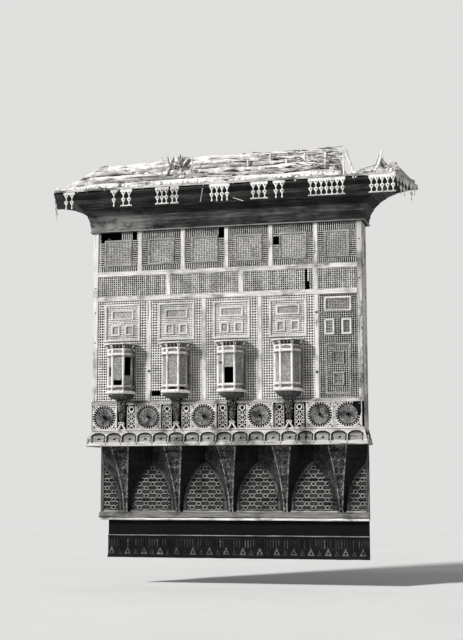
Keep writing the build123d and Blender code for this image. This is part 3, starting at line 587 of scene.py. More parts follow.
def loose_boxes(node):
    """The lowest and highest corners of each separate block of a node."""
    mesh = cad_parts[node].data
    parent = list(range(len(mesh.vertices)))
    places = {}

    def root(i):
        while parent[i] != i:
            i = parent[i]
        return i

    for vertex in mesh.vertices:
        key = tuple(round(c, 4) for c in vertex.co)
        if key in places:
            parent[root(vertex.index)] = root(places[key])
        places[key] = vertex.index
    for edge in mesh.edges:
        parent[root(edge.vertices[0])] = root(edge.vertices[1])
    groups = {}
    for vertex in mesh.vertices:
        groups.setdefault(root(vertex.index), []).append(vertex.co)
    boxes = []
    for group in groups.values():
        boxes.append(tuple([pick(p[i] for p in group) for i in range(3)] for pick in (min, max)))
    return sorted(boxes)


def middles(node):
    """The middle in x of each separate block of a node."""
    return [(low[0] + high[0]) / 2 for low, high in loose_boxes(node)]


def rebuild_timbers(node, along, material, spread):
    """Each block of a node as a worn timber, spread a little over the edges of its lattices."""
    heap = Heap()
    for k, (low, high) in enumerate(loose_boxes(node)):
        low = [v - s for v, s in zip(low, spread)]
        high = [v + s for v, s in zip(high, spread)]
        returns = along == LEVEL and high[1] - low[1] > high[0] - low[0]
        timber_length(heap, low, high, OUTWARD if returns else along, 3.7 * k + len(node))
    heap.piece(f"worn_{node}", [material], "frame_wood", [node])


# Nodes with the axis their timbers follow, their wood and how far they spread over the lattices
TIMBERS = [
    ("main_mullions", UPRIGHT, POST_WOOD, (0.004, 0, 0)),
    ("middle_mullions", UPRIGHT, POST_WOOD, (0.006, 0, 0)),
    ("upper_mullions", UPRIGHT, POST_WOOD, (0.003, 0, 0)),
    ("corner_post_left", UPRIGHT, POST_WOOD, (0, 0, 0)),
    ("lower_rail", LEVEL, RAIL_WOOD, (0, 0.012, 0.008)),
    ("upper_rail", LEVEL, RAIL_WOOD, (0, 0, 0.010)),
    ("side_head_rails", OUTWARD, DEPTH_WOOD, (0, 0, 0)),
]
for row in TIMBERS:
    rebuild_timbers(*row)


def right_post():
    """Its outer edge is split and ragged in the lower half."""
    heap = Heap()
    ragged = [(0.5, 2.1, 0.040, 1), (0.5, 1.8, 0.045, 2)]
    timber_length(heap, *POST_RIGHT, UPRIGHT, 11.3, chips=0.010, steps=110, wear=ragged)
    heap.piece("worn_corner_post_right", [RIGHT_POST], "frame_wood", ["corner_post_right"])


right_post()

# Knots and nail heads: which upright of a row, its level and half its width
MARKS = {
    "main_mullions": [(3, 1.93, 0.026), (3, 0.93, 0.027), (0, 1.01, 0.026)],
    "corner_post_right": [(0, 3.14, 0.014), (0, 2.48, 0.016), (0, 1.85, 0.015)],
    "corner_post_left": [(0, 2.47, 0.014), (0, 2.04, 0.014), (0, 1.52, 0.014)],
}


def knots():
    heap = Heap()
    for node, marks in MARKS.items():
        board = front_board(-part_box(node)[0].y)
        uprights = middles(node)
        for order, level, half in marks:
            heap.on(board, boss(uprights[order], level, half, 7, -0.008, 0.001, 0.002))
    heap.piece("knots_and_nails", [SHELL_SHADE_AND_KNOT], "frame_wood")


knots()
coat(SILL_WOOD, "sill")
# Painted near black as shade: the head rail, and below, the beams and boards inside the box.
coat(INTERIOR_SHADE_WOOD, "head_rail")
coat(DEPTH_WOOD, "side_sills")
coat(POST_WOOD, "wall_posts")
coat(INTERIOR_SHADE_WOOD, "wall_beam", "front_beam", "floor_joists", "floor_boards", "ceiling_boards")
coat(ROUGH_WOOD, "roof_studs", "roof_wall_plate")


# Main bays

def open_spans(mullions):
    """The clear widths between the corner posts, past a row of mullions."""
    limits = [POST_LEFT[1].x]
    for low, high in loose_boxes(mullions):
        limits += [low[0], high[0]]
    limits.append(POST_RIGHT[0].x)
    return list(zip(limits[::2], limits[1::2]))


FRONT = front_board(LATTICE_FACE)
BAR_DEPTH = 0.013
LEAST_STRIP = 0.012
MAIN_SPANS = open_spans("main_mullions")
MAIN_LEVELS = (SILL_TOP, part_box("main_mullions")[1].z)
MIDDLE_LEVELS = (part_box("middle_mullions")[0].z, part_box("middle_mullions")[1].z)
UPPER_LEVELS = (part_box("upper_mullions")[0].z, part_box("upper_mullions")[1].z)
ORIELS = 4
ORIEL_BOXES = [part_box(f"oriel_{i + 1}") for i in range(ORIELS)]
FIELD_SIDE = 0.132
FIELD_LEVELS = (1.53, 2.18)
FIELD_MOULDING = 0.034
FIELD_HEIGHT = 0.018
PANE_HALF = 0.2
PANE_WIDTH = 0.029
PANE_HEIGHT = 0.015
PANE_GAP = 0.046
WIDE_LEVELS = (1.905, 2.073)
SQUARE_LEVELS = (1.628, 1.812)
BAY_WOODS = [LATTICE_WOOD, FRAME_WOOD, GREY_LATTICE]
BAY_DAMAGE = {1: [(-1.293, -1.111, 0.59, 0.67)]}


def framed(heap, u, v, width, kind, high=PANE_HEIGHT, finish=FRAME_WOOD, infill=None):
    """A moulded frame on the front, with a finer lattice inside it."""
    heap.on(FRONT, moulded_frame(u, v, width, -0.008, high), finish)
    if kind:
        lattice(heap, FRONT, inset(u, width), inset(v, width), kind, depth=BAR_DEPTH, finish=infill)


def ring_of_lattice(heap, outer, inner, kind):
    """Fills what lies between two rectangles, each given as (u span, v span)."""
    (u0, u1), (v0, v1) = outer
    (a0, a1), (b0, b1) = inner
    for u, v in (((u0, a0), (v0, v1)), ((a1, u1), (v0, v1)), ((a0, a1), (v0, b0)), ((a0, a1), (b1, v1))):
        if u[1] - u[0] > LEAST_STRIP and v[1] - v[0] > LEAST_STRIP:
            lattice(heap, FRONT, u, v, kind, (), BAR_DEPTH)


def lined_row(heap, span, levels, panes):
    """Turned bars beside and between the panes of one row."""
    limits = [span[0], *(edge for pane in panes for edge in pane), span[1]]
    for u in zip(limits[::2], limits[1::2]):
        lattice(heap, FRONT, u, levels, LINED, depth=BAR_DEPTH)


def field_parts(heap, u):
    """The framed field over a small oriel: one wide pane over two small ones."""
    centre = (u[0] + u[1]) / 2
    inner_u, inner_v = inset(u, FIELD_MOULDING), inset(FIELD_LEVELS, FIELD_MOULDING)
    wide = (centre - PANE_HALF, centre + PANE_HALF)
    left = (centre - PANE_HALF, centre - PANE_GAP)
    right = (centre + PANE_GAP, centre + PANE_HALF)
    framed(heap, u, FIELD_LEVELS, FIELD_MOULDING, None, FIELD_HEIGHT)
    for pane, levels in ((wide, WIDE_LEVELS), (left, SQUARE_LEVELS), (right, SQUARE_LEVELS)):
        framed(heap, pane, levels, PANE_WIDTH, SCREEN, infill=GREY_LATTICE)
    lined_row(heap, inner_u, (WIDE_LEVELS[1], inner_v[1]), [])
    lined_row(heap, inner_u, WIDE_LEVELS, [wide])
    lined_row(heap, inner_u, (SQUARE_LEVELS[1], WIDE_LEVELS[0]), [])
    lined_row(heap, inner_u, SQUARE_LEVELS, [left, right])
    lined_row(heap, inner_u, (inner_v[0], SQUARE_LEVELS[0]), [])


def main_bay(index):
    heap = Heap()
    span = MAIN_SPANS[index]
    low, high = ORIEL_BOXES[index]
    field = inset(span, FIELD_SIDE)
    mouth = (*inset((low.x, high.x), 0.01), low.z - 0.02, high.z + 0.01)
    field_parts(heap, field)
    ring_of_lattice(heap, (span, (mouth[3], MAIN_LEVELS[1])), (field, FIELD_LEVELS), COARSE)
    holes = [mouth] + BAY_DAMAGE.get(index, [])
    lattice(heap, FRONT, span, (MAIN_LEVELS[0], mouth[3]), COARSE, holes, BAR_DEPTH)
    heap.piece(f"lattice_bay_{index + 1}", BAY_WOODS, "lattice_wood", [f"main_lattice_{index + 1}"])


for bay in range(ORIELS):
    main_bay(bay)

# The last bay: half widths and levels of its wide pane, two squares, tall frame and small panes
WIDE_HALF = 0.225
WIDE_PANE = (1.94, 2.184)
SQUARE_EDGE = 0.062
SQUARE_PANES = (1.55, 1.812)
TALL_HALF = 0.21
TALL_FRAME = (0.56, 1.403)
SMALL_HALF = 0.097
SMALL_PANES = ((1.052, 1.274), (0.703, 0.924))


def narrow_bay():
    """A wide pane, two small ones and a tall frame with two squares."""
    heap = Heap()
    span = MAIN_SPANS[-1]
    x = (span[0] + span[1]) / 2
    wide = ((x - WIDE_HALF, x + WIDE_HALF), WIDE_PANE)
    left = ((x - WIDE_HALF, x - SQUARE_EDGE), SQUARE_PANES)
    right = ((x + SQUARE_EDGE, x + WIDE_HALF), SQUARE_PANES)
    tall = (x - TALL_HALF, x + TALL_HALF)
    small = [((x - SMALL_HALF, x + SMALL_HALF), levels) for levels in SMALL_PANES]
    for pane in (wide, left, right):
        framed(heap, *pane, PANE_WIDTH, HATCHED)
    for pane in small:
        framed(heap, *pane, PANE_WIDTH, HATCHED, finish=GREY_FRAME)
    framed(heap, tall, TALL_FRAME, PANE_WIDTH, None, finish=GREY_FRAME)
    gaps = [(*u, *v) for u, v in (wide, left, right)]
    lattice(heap, FRONT, span, (TALL_FRAME[1], MAIN_LEVELS[1]), MEDIUM, gaps, BAR_DEPTH)
    ring_of_lattice(heap, (span, (MAIN_LEVELS[0], TALL_FRAME[1])), (tall, TALL_FRAME), MEDIUM)
    gaps = [(*u, *v) for u, v in small]
    inner = (inset(tall, PANE_WIDTH), inset(TALL_FRAME, PANE_WIDTH))
    lattice(heap, FRONT, *inner, MEDIUM, gaps, BAR_DEPTH)
    heap.piece("lattice_bay_5", [GREY_LATTICE, FRAME_WOOD, GREY_FRAME], "lattice_wood", ["narrow_lattice"])


narrow_bay()


# Middle and upper registers

UPPER_SIDE = 0.115
UPPER_FRAME = (2.847, 3.308)
UPPER_MOULDING = 0.036
UPPER_HEIGHT = 0.012
MIDDLE_DAMAGE = [(1.389, 1.428, 2.40, 2.70), (1.388, 1.472, 2.30, 2.469)]
UPPER_DAMAGE = [
    (-2.238, -2.119, 3.26, 3.45),
    (-2.119, -1.852, 3.33, 3.45),
    (-1.653, -1.555, 3.30, 3.45),
    (-0.109, -0.013, 3.29, 3.45),
    (0.848, 0.951, 3.106, 3.25),
]


def middle_register():
    heap = Heap()
    for span in open_spans("middle_mullions"):
        lattice(heap, FRONT, span, MIDDLE_LEVELS, STREAKED, MIDDLE_DAMAGE, BAR_DEPTH)
    heap.piece("lattice_middle", [GREY_LATTICE], "lattice_wood", ["middle_lattices"])


def upper_register():
    heap = Heap()
    for span in open_spans("upper_mullions"):
        inner = inset(span, UPPER_SIDE)
        framed(heap, inner, UPPER_FRAME, UPPER_MOULDING, FINE, UPPER_HEIGHT, GREY_FRAME)
        for levels in ((UPPER_LEVELS[0], UPPER_FRAME[0]), (UPPER_FRAME[1], UPPER_LEVELS[1])):
            spindles(heap, FRONT, span, levels, True, UPPER_DAMAGE, BAR_DEPTH)
        for side in ((span[0], inner[0]), (inner[1], span[1])):
            spindles(heap, FRONT, side, UPPER_FRAME, False, UPPER_DAMAGE, BAR_DEPTH)
    heap.piece("lattice_upper", [GREY_LATTICE, FRAME_WOOD, GREY_FRAME], "lattice_wood", ["upper_lattices"])


def side_registers(name, side):
    heap = Heap()
    low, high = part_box(name)
    board = Board((high.x if side > 0 else low.x, 0, 0), (0, 1, 0), (0, 0, 1), (side, 0, 0))
    for levels, kind in ((MAIN_LEVELS, COARSE), (MIDDLE_LEVELS, STREAKED), (UPPER_LEVELS, MEDIUM)):
        lattice(heap, board, (low.y, high.y), levels, kind, (), BAR_DEPTH)
    heap.piece(f"turned_{name}", [LATTICE_WOOD], "lattice_wood", [name])


middle_register()
upper_register()
side_registers("side_lattices_left", -1)
side_registers("side_lattices_right", 1)


# Small oriels

ORIEL_HALF = 0.21
ORIEL_SIDE = 0.18
ORIEL_FACET = 0.112
ORIEL_FLOOR = ORIEL_BOXES[0][0].z
ORIEL_TOP = ORIEL_BOXES[0][1].z
PLATE_FOOT = ORIEL_FLOOR - 0.03
FOOT_ROW = ORIEL_FLOOR + 0.084
HEAD_ROW = ORIEL_TOP - 0.106
LIGHTS = (FOOT_ROW + 0.012, HEAD_ROW - 0.008)
FOOT_PANEL = (ORIEL_FLOOR + 0.016, FOOT_ROW - 0.008)
HEAD_PANEL = (HEAD_ROW + 0.024, ORIEL_TOP - 0.012)
LIGHT_PITCH = 0.072
LIGHT_DEPTH = 0.012
PANEL_DEPTH = 0.014
LIGHT_RAIL = 0.0045
PANEL_RAIL = 0.005
DROOP = 0.026
CAP_DROOP = 0.022
STILE = 0.012
STILE_DEPTH = (-0.02, 0.0)
POST_RADIUS = 0.0205
# The facet at the right end and its posts have darker woods: painted shade on the side turned from the light.
PAINTED_SHADE_SIDE = 4
ORIEL_WOODS = [SCREEN_WOOD, ORIEL_PALE, GREY_CARVING, ORIEL_DARK]

# Lights that have lost their lattice: bay, side (0 to 4 from the left), lower and upper level
LOST_LIGHTS = [
    (0, 1, 0.915, 1.071),
    (0, 2, 0.752, 0.838),
    (0, 3, 0.919, 1.23),
    (2, 1, 1.088, 1.126),
    (2, 2, 0.759, 1.024),
]
LOST_PANELS = {(1, 2), (1, 3)}


def oriel_plan(x, out=0.0):
    """The outline of an oriel, or of a moulding that stands out from it."""
    half = ORIEL_HALF + out
    corner = LATTICE_FACE + ORIEL_SIDE + out * math.tan(math.pi / 8)
    front = LATTICE_FACE + ORIEL_SIDE + ORIEL_FACET + out
    narrow = half - (front - corner)
    left = [(-half, -LATTICE_FACE), (-half, -corner), (-narrow, -front)]
    return [(x + u, y) for u, y in left] + [(x - u, y) for u, y in reversed(left)]


def facet_boards(x):
    """An upright board and a half width for each of the five sides."""
    plan = oriel_plan(x)
    boards = []
    for (x0, y0), (x1, y1) in zip(plan, plan[1:]):
        length = math.hypot(x1 - x0, y1 - y0)
        right = ((x1 - x0) / length, (y1 - y0) / length, 0)
        out = (right[1], -right[0], 0)
        boards.append((Board(((x0 + x1) / 2, (y0 + y1) / 2, 0), right, (0, 0, 1), out), length / 2))
    return boards


def sweep_plan(heap, x, profile, finish=None):
    """A moulding round the oriel from (out, level) pairs."""
    heap.add(*rings([[(px, py, level) for px, py in oriel_plan(x, out)] for out, level in profile]), finish)


def drooping_band(half, low, high, sag, steps=8):
    """A band whose lower edge is arched, hanging lowest at the posts."""
    outline = [(-half, high), (-half, low - sag)]
    for k in range(1, steps):
        share = k / steps
        outline.append((-half + 2 * half * share, low - sag + sag * math.sin(math.pi * share) ** 0.6))
    return outline + [(half, low - sag), (half, high)]


def oriel_lights(heap, index, side, board, half, dull):
    """Fine lattice in the tall middle row, with a thin rail at each light."""
    inner = half - 0.014
    lost = [light[2:] for light in LOST_LIGHTS if light[:2] == (index, side)]
    gaps = [(-half * 0.8, half * 0.8, low, high) for low, high in lost]
    lattice(heap, board, (-inner, inner), LIGHTS, SCREEN, gaps, LIGHT_DEPTH, dull)
    rails, step = fitted(*LIGHTS, LIGHT_PITCH)
    for k in range(1, rails):
        level = LIGHTS[0] + k * step
        if not any(low < level < high for low, high in lost):
            rail = (level - LIGHT_RAIL, level + LIGHT_RAIL)
            slab(heap, board, (-inner, inner), rail, (-0.02, -0.004), dull)


def oriel_side(heap, index, side, board, half):
    """One facet: stiles, three rows, and the bands between them."""
    inner = half - STILE
    span = (-inner, inner)
    painted_shade_side = side == PAINTED_SHADE_SIDE
    # The facet at the right end takes darker woods as painted shade.
    pale, dull = (GREY_CARVING, ORIEL_DARK) if painted_shade_side else (ORIEL_PALE, SCREEN_WOOD)
    for edge in (-1, 1):
        slab(heap, board, sorted((edge * half, edge * inner)), (ORIEL_FLOOR, ORIEL_TOP), STILE_DEPTH, pale)
    oriel_lights(heap, index, side, board, half, dull)
    if (index, side) not in LOST_PANELS:
        lattice(heap, board, span, FOOT_PANEL, SCREEN, depth=PANEL_DEPTH, finish=dull)
    lattice(heap, board, span, HEAD_PANEL, SCREEN, depth=PANEL_DEPTH, finish=dull)
    for level in (*HEAD_PANEL, FOOT_PANEL[0]):
        slab(heap, board, span, (level - PANEL_RAIL, level + PANEL_RAIL), (-0.02, 0.004), pale)
    for level in (FOOT_ROW, HEAD_ROW):
        for low, high, front, finish in ((-0.012, 0.022, 0.012, pale), (-0.020, -0.008, 0.020, GREY_CARVING)):
            band = drooping_band(half, level + low, level + high, DROOP)
            heap.on(board, raised(band, -0.006, front, 0.003), finish)
    band = drooping_band(inner, ORIEL_TOP - 0.02, ORIEL_TOP - 0.004, CAP_DROOP)
    heap.on(board, raised(band, -0.012, 0.006, 0.002), ORIEL_PALE)


def post_profile():
    """Levels and radii of a corner post, as shares of its radius: it swells at each row."""
    foot = [(ORIEL_FLOOR, 1.35), (ORIEL_FLOOR + 0.012, 1.35), (ORIEL_FLOOR + 0.018, 0.85)]
    swell = [(-0.03, 0.95), (-0.016, 1.3), (0.012, 1.35), (0.024, 1)]
    rows = [(level + rise, share) for level in (FOOT_ROW, HEAD_ROW) for rise, share in swell]
    head = [(ORIEL_TOP - 0.03, 1), (ORIEL_TOP - 0.012, 1.4), (ORIEL_TOP, 1.4)]
    return [(level, POST_RADIUS * share) for level, share in foot + rows + head]


def oriel_body(index):
    heap = Heap()
    x = (ORIEL_BOXES[index][0].x + ORIEL_BOXES[index][1].x) / 2
    for side, (board, half) in enumerate(facet_boards(x)):
        oriel_side(heap, index, side, board, half)
    shape, faces = lathe(post_profile(), 10)
    for k, (px, py) in enumerate(oriel_plan(x, -0.004)):
        # Posts at the right end are painted grey as shade.
        finish = GREY_CARVING if k >= PAINTED_SHADE_SIDE else ORIEL_PALE
        heap.add([(px + a, py + c, b) for a, b, c in shape], faces, finish)
    heap.piece(f"oriel_body_{index + 1}", ORIEL_WOODS, "oriel_wood", [f"oriel_{index + 1}"])
    return x


# Overhang and rise over the top of an oriel: its cap, the cap's edge and the pale line round it
CAP_PROFILE = [
    (-0.01, 0.0), (0.0, 0.002), (0.004, 0.018), (0.016, 0.034), (0.036, 0.05), (0.062, 0.062),
    (0.069, 0.066), (0.07, 0.068), (0.07, 0.08),
]
CAP_LINE = [(0.064, 0.064), (0.0705, 0.066), (0.0705, 0.0795)]
CONSOLE_RISE = 0.056
CONSOLE_REACH = 0.052
CONSOLE_HALF = 0.007
CONSOLE_PLACES = (-0.98, -0.33, 0.33, 0.98)


def console(heap, board, at, finish):
    """A small curved bracket under the cap of an oriel."""
    level = ORIEL_TOP + 0.004
    outline = [(0, level + CONSOLE_RISE)]
    for k in range(6):
        angle = math.pi / 2 * k / 5
        out = CONSOLE_REACH * math.sin(angle) ** 1.5
        outline.append((out, level + CONSOLE_RISE * (1 - math.cos(angle))))
    sides = [[(u, v, w) for w, v in outline] for u in (-CONSOLE_HALF, CONSOLE_HALF)]
    heap.on(Board(board.put([(at, 0, 0)])[0], *board.axes), rings(sides), finish)


def oriel_caps(centres):
    heap = Heap()
    for x in centres:
        for finish, profile in ((ORIEL_DARK, CAP_PROFILE), (ORIEL_PALE, CAP_LINE)):
            sweep_plan(heap, x, [(out, ORIEL_TOP + rise) for out, rise in profile], finish)
        for board, half in facet_boards(x):
            for share in CONSOLE_PLACES:
                console(heap, board, half * share, ORIEL_PALE if abs(share) > 0.5 else GREY_CARVING)
    heap.piece("oriel_caps", [ORIEL_DARK, ORIEL_PALE, GREY_CARVING], "oriel_wood", ["oriel_cornices"])


# Overhang and rise of the base plate, then the bowl and stem below it
PLATE_PROFILE = [
    (0.0, -0.006), (0.014, 0.0), (0.03, 0.008), (0.034, 0.016), (0.032, 0.026), (0.016, 0.034),
    (0.012, 0.042), (0.0, 0.048),
]
BOWL_INSET = 0.004
STEM_FOOT_HALF = 0.026
STEM_HALF = 0.094
STEM_FOOT = 0.06
STEM_TOP = 0.53
STEM_DEPTHS = (0.030, 0.040)
LEAF_PITCH = 0.062
LEAF_SWELL = 0.005
LEAF_LOBES = 0.12
SEAT = POST_FACE + 0.05
LEG = [(0, 0.118), (0.022, 0.085), (0.052, 0.035), (0.082, 0.004)]
LOBE_RADIUS = 0.02
LOBE_LEVEL = 0.118


def stem_section(x, level):
    """Half an octagon that narrows downward, with leaves that swell and pinch."""
    share = max(0.0, min(1.0, (level - STEM_FOOT) / (STEM_TOP - STEM_FOOT)))
    swell = LEAF_SWELL * math.sin(level * math.tau / LEAF_PITCH)
    half = STEM_FOOT_HALF + (STEM_HALF - STEM_FOOT_HALF) * share**1.3 + swell
    depth = STEM_DEPTHS[0] + STEM_DEPTHS[1] * share + swell
    points = []
    for k in range(13):
        angle = math.pi * k / 12
        leaf = 1 + LEAF_LOBES * math.cos(angle * 6 + 25 * level)
        across, out = half * leaf * math.cos(angle), depth * leaf * math.sin(angle)
        points.append((x - across, -SEAT - out + 0.01, level))
    return points


def stem(heap, x, levels):
    heap.add(*rings([stem_section(x, level) for level in levels], closed=False, caps=False), STEM_WOOD)


def bowl_section(share):
    """The bowl shrinks from the base plate to the stem along a quarter round."""
    turn = math.pi / 2 * share
    out = -BOWL_INSET - (ORIEL_HALF - BOWL_INSET - STEM_HALF) * (1 - math.cos(turn)) ** 0.9
    return out, PLATE_FOOT - BOWL_INSET - (PLATE_FOOT - STEM_TOP) * math.sin(turn)


def scrolled_foot(heap, x):
    """Two legs that spread from the foot of a stem, each with a lobe at its top."""
    board = front_board(SEAT)
    for side in (-1, 1):
        heap.on(board, ribbon([(x + side * u, v) for u, v in LEG], 0.024, -0.02, 0.036))
        lobe = circle(LOBE_RADIUS, LOBE_LEVEL, LOBE_RADIUS, 12)
        heap.on(board, ribbon([(x + side * u, v) for u, v in lobe], 0.012, -0.02, 0.044))


def oriel_feet(centres):
    heap = Heap()
    for x in centres:
        sweep_plan(heap, x, [(out, PLATE_FOOT + rise) for out, rise in PLATE_PROFILE])
        sweep_plan(heap, x, [bowl_section(k / 8) for k in range(9)], ORIEL_DARK)
        stem(heap, x, [STEM_FOOT + 0.01 + (STEM_TOP - 0.05) * k / 40 for k in range(41)])
        scrolled_foot(heap, x)
        stem(heap, x, (STEM_TOP - 0.02, STEM_TOP + 0.01))
    heap.piece("oriel_feet", [ORIEL_PALE, ORIEL_DARK, STEM_WOOD], "oriel_wood", ["oriel_pendants"])


ORIEL_CENTRES = [oriel_body(i) for i in range(ORIELS)]
oriel_caps(ORIEL_CENTRES)
oriel_feet(ORIEL_CENTRES)


# Rosette band

BAND = front_board(BAND_FACE - 0.012)
BAND_MIDDLE = BAND_TOP / 2
BAND_FOOT = 0.019
BAND_HEAD = BAND_TOP - 0.016
TEETH = 28
TOOTH_EDGES = ((0.03, True), (0.16, True), (0.29, True), (0.32, False), (1.0, False))
PETALS = 15
PANEL_HALF = (0.214, 0.203)
PANEL_EDGE = ((0.012, 0.008), (0.01, 0.014), (0.002, 0.014), (0.0, 0.0))
CORNER_INSET = 0.03
ROSETTE_RINGS = (
    0.013, 0.016, 0.026, 0.032, 0.04, 0.06, 0.085, 0.11, 0.136, 0.150, 0.156, 0.159, 0.168,
    0.170, 0.201, 0.204, 0.209,
)
EYE_RINGS = 2
DISH_RINGS = 11
TEETH_RING = 13
PIERCING_RADIUS = 0.015
BOSS_RADIUS = 0.03
DISH_RADIUS = 0.158
GROOVE_RADIUS = 0.169
TEETH_RADIUS = 0.203
RELIEF = 0.014
STROKE_HEIGHT = 0.0155
BAND_GROUND = -0.018
ROSETTE_REACH = 0.210
STROKE = ((0.226, 0.6), (0.236, 0.78), (0.226, 0.97))
FRET_PLACE = 0.168
FRET_LEVELS = (0.026, BAND_TOP - 0.02)
FRET_HALF = 0.073
FRET_RING_TOP = 0.016
HEAD_RING = 0.042
FOOT_RING = 0.046
VINE_MARGIN = 0.05
VINE_SWAY = 0.045
VINE_TURNS = 1.5
VINE_STEPS = 24
VINE_WIDTH = 0.013
VINE_RIB = 0.009
BERRIES = 5
BERRY_PLACE = 0.054
BERRY_RADIUS = 0.011
STRIP_PLACE = 0.008
STRIP_HALF = 0.006
STRIP_TOP = 0.016
MAIN_CENTRES = middles("main_mullions")
ROSETTES = [-HALF + 0.236, *MAIN_CENTRES[:3], MAIN_CENTRES[3] + 0.042, HALF - 0.262]


def square_reach(angle):
    """How far the edge of a panel lies from its middle in one direction."""
    half_u, half_v = PANEL_HALF
    return min(half_u / max(abs(math.cos(angle)), 1e-6), half_v / max(abs(math.sin(angle)), 1e-6))


def rosette_height(r, angle, tooth):
    """The relief at a place: a pierced boss in a fluted dish, inside a ring of teeth."""
    if r < PIERCING_RADIUS:
        return -0.016
    if r < BOSS_RADIUS:
        return 0.010
    if r < DISH_RADIUS:
        dish = -RELIEF + 0.026 * max(0.0, (r - 0.05) / 0.1) ** 1.6
        fold = abs(math.sin(angle * PETALS / 2 + 0.2))
        return dish - 0.012 * max(0.0, 1 - fold / 0.45) - 0.002
    if r < GROOVE_RADIUS:
        return -RELIEF
    if r < TEETH_RADIUS:
        return RELIEF if tooth else -RELIEF
    return 0.008


def rosette_finish(k, tooth, next_tooth):
    """Which wood shows between one ring of points and the next: the eye, the groove round the dish and the
    gaps between the teeth are painted black as shade.
    """
    if k < EYE_RINGS or DISH_RINGS <= k < TEETH_RING:
        return SHADE_AND_JOINT_BLACK
    if k > TEETH_RING:
        return PALE_CARVING
    if k == TEETH_RING:
        return PALE_CARVING if tooth and next_tooth else SHADE_AND_JOINT_BLACK
    return DISC_WOOD


def rosette_loops(x, angles, teeth):
    """Rings of points from the middle of a panel to its square edge."""
    def ring(radii, levels):
        return [
            (x + r * math.cos(angle), BAND_MIDDLE + r * math.sin(angle), level)
            for r, angle, level in zip(radii, angles, levels)
        ]

    loops = []
    for r in ROSETTE_RINGS:
        levels = [rosette_height(r, angle, tooth) for angle, tooth in zip(angles, teeth)]
        loops.append(ring([r] * len(angles), levels))
    for margin, level in PANEL_EDGE:
        reach = [max(ROSETTE_REACH, square_reach(angle) - margin) for angle in angles]
        loops.append(ring(reach, [level] * len(angles)))
    return loops


def rosette_corners(heap, x):
    """A knob and a curved stroke in each corner of a panel. The strokes, the knob at the lower right and some
    others at random are painted black as shade.
    """
    for across in (-1, 1):
        for along in (-1, 1):
            u = x + across * (PANEL_HALF[0] - CORNER_INSET)
            v = BAND_MIDDLE + along * (PANEL_HALF[1] - CORNER_INSET)
            finish = SHADE_AND_JOINT_BLACK if across > along or random.random() < 0.4 else DISC_WOOD
            heap.on(BAND, boss(u, v, 0.013, 6, 0.0, STROKE_HEIGHT, 0.001), finish)
            stroke = [(across * r * math.cos(a), along * r * math.sin(a)) for r, a in STROKE]
            path = [(x + a, BAND_MIDDLE + b) for a, b in stroke]
            heap.on(BAND, ribbon(path, 0.007, 0.0, STROKE_HEIGHT), SHADE_AND_JOINT_BLACK)


def rosette(heap, x, broken):
    """A square panel with a ring of teeth round a fluted dish."""
    angles, teeth = [], []
    for k in range(TEETH):
        for share, tooth in TOOTH_EDGES:
            angles.append(math.tau * (k + share) / TEETH)
            teeth.append(tooth)
    loops = rosette_loops(x, angles, teeth)
    count = len(angles)
    for k in range(len(loops) - 1):
        for i in range(count):
            j = (i + 1) % count
            lost = broken and -0.1 < angles[i] < 1.15 - 0.02 * ((i * 7) % 5) and k >= DISH_RINGS
            if not lost:
                quad = [loops[k][i], loops[k][j], loops[k + 1][j], loops[k + 1][i]]
                heap.on(BAND, (quad, [(0, 1, 2, 3)]), rosette_finish(k, teeth[i], teeth[j]))
    rosette_corners(heap, x)
    # The hole in the boss is painted black as the shade in it.
    hole = [(x, BAND_MIDDLE, BAND_GROUND)] + loops[0]
    heap.on(BAND, (hole, [(0, 1 + i, 1 + (i + 1) % count) for i in range(count)]), SHADE_AND_JOINT_BLACK)


def narrow_panel(heap, x):
    """An upright field: a ring under an arch, crossing stems and half a ring at the foot."""
    low, high = FRET_LEVELS
    spring = high - FRET_HALF + 0.006
    left, right = x - FRET_HALF, x + FRET_HALF

    def strip(path, width, top=RELIEF):
        heap.on(BAND, ribbon(path, width, BAND_GROUND, top))

    arch = circle(x, spring, FRET_HALF, 10, math.pi, 0)
    strip([(left, low), (left, spring), *arch, (right, low)], 0.010)
    strip([(left, low), (right, low)], 0.012)
    strip(circle(x, spring - 0.005, HEAD_RING, 14), 0.022, FRET_RING_TOP)
    strip(circle(x, low, FOOT_RING, 10, 0, math.pi), 0.018, FRET_RING_TOP)
    foot, head = low + VINE_MARGIN, spring - VINE_MARGIN
    for phase in (0, math.pi):
        path = []
        for share in (k / VINE_STEPS for k in range(VINE_STEPS + 1)):
            sway = VINE_SWAY * math.sin(share * math.tau * VINE_TURNS + phase)
            path.append((x + sway, foot + (head - foot) * share))
        strip(path, VINE_WIDTH, VINE_WIDTH)
    strip([(x, foot), (x, head)], VINE_RIB, VINE_RIB)
    for k in range(BERRIES):
        level = foot + (head - foot) * (k + 0.5) / BERRIES
        for side in (-1, 1):
            berry = boss(x + side * BERRY_PLACE, level, BERRY_RADIUS, 5, BAND_GROUND, 0.01, 0.003)
            heap.on(BAND, berry)


def rosette_band():
    heap = Heap()
    full = (-HALF, HALF)
    # The ground behind the carving is painted black as shade.
    slab(heap, BAND, full, (0, BAND_TOP), (BAND_GROUND - 0.01, BAND_GROUND), SHADE_AND_JOINT_BLACK)
    slab(heap, BAND, full, (0, BAND_FOOT), (-0.01, 0.02))
    slab(heap, BAND, full, (BAND_HEAD, BAND_TOP), (-0.01, STRIP_TOP))
    for k, x in enumerate(ROSETTES):
        rosette(heap, x, k == len(ROSETTES) - 1)
        for side in (-1, 1):
            edge = x + side * (PANEL_HALF[0] + STRIP_PLACE)
            if abs(edge) < HALF - 0.02:
                strip = (edge - STRIP_HALF, edge + STRIP_HALF)
                slab(heap, BAND, strip, (BAND_FOOT, BAND_HEAD), (-0.02, STRIP_TOP))
    places = [x + side * FRET_PLACE for x in ORIEL_CENTRES for side in (-1, 1)]
    for place in places[1:]:
        narrow_panel(heap, place)
    heap.piece("carved_band", [PALE_CARVING, DISC_WOOD, SHADE_AND_JOINT_BLACK], "carved_wood", ["rosette_band"])


rosette_band()
coat(PALE_CARVING, "side_bands")


# Scalloped skirt

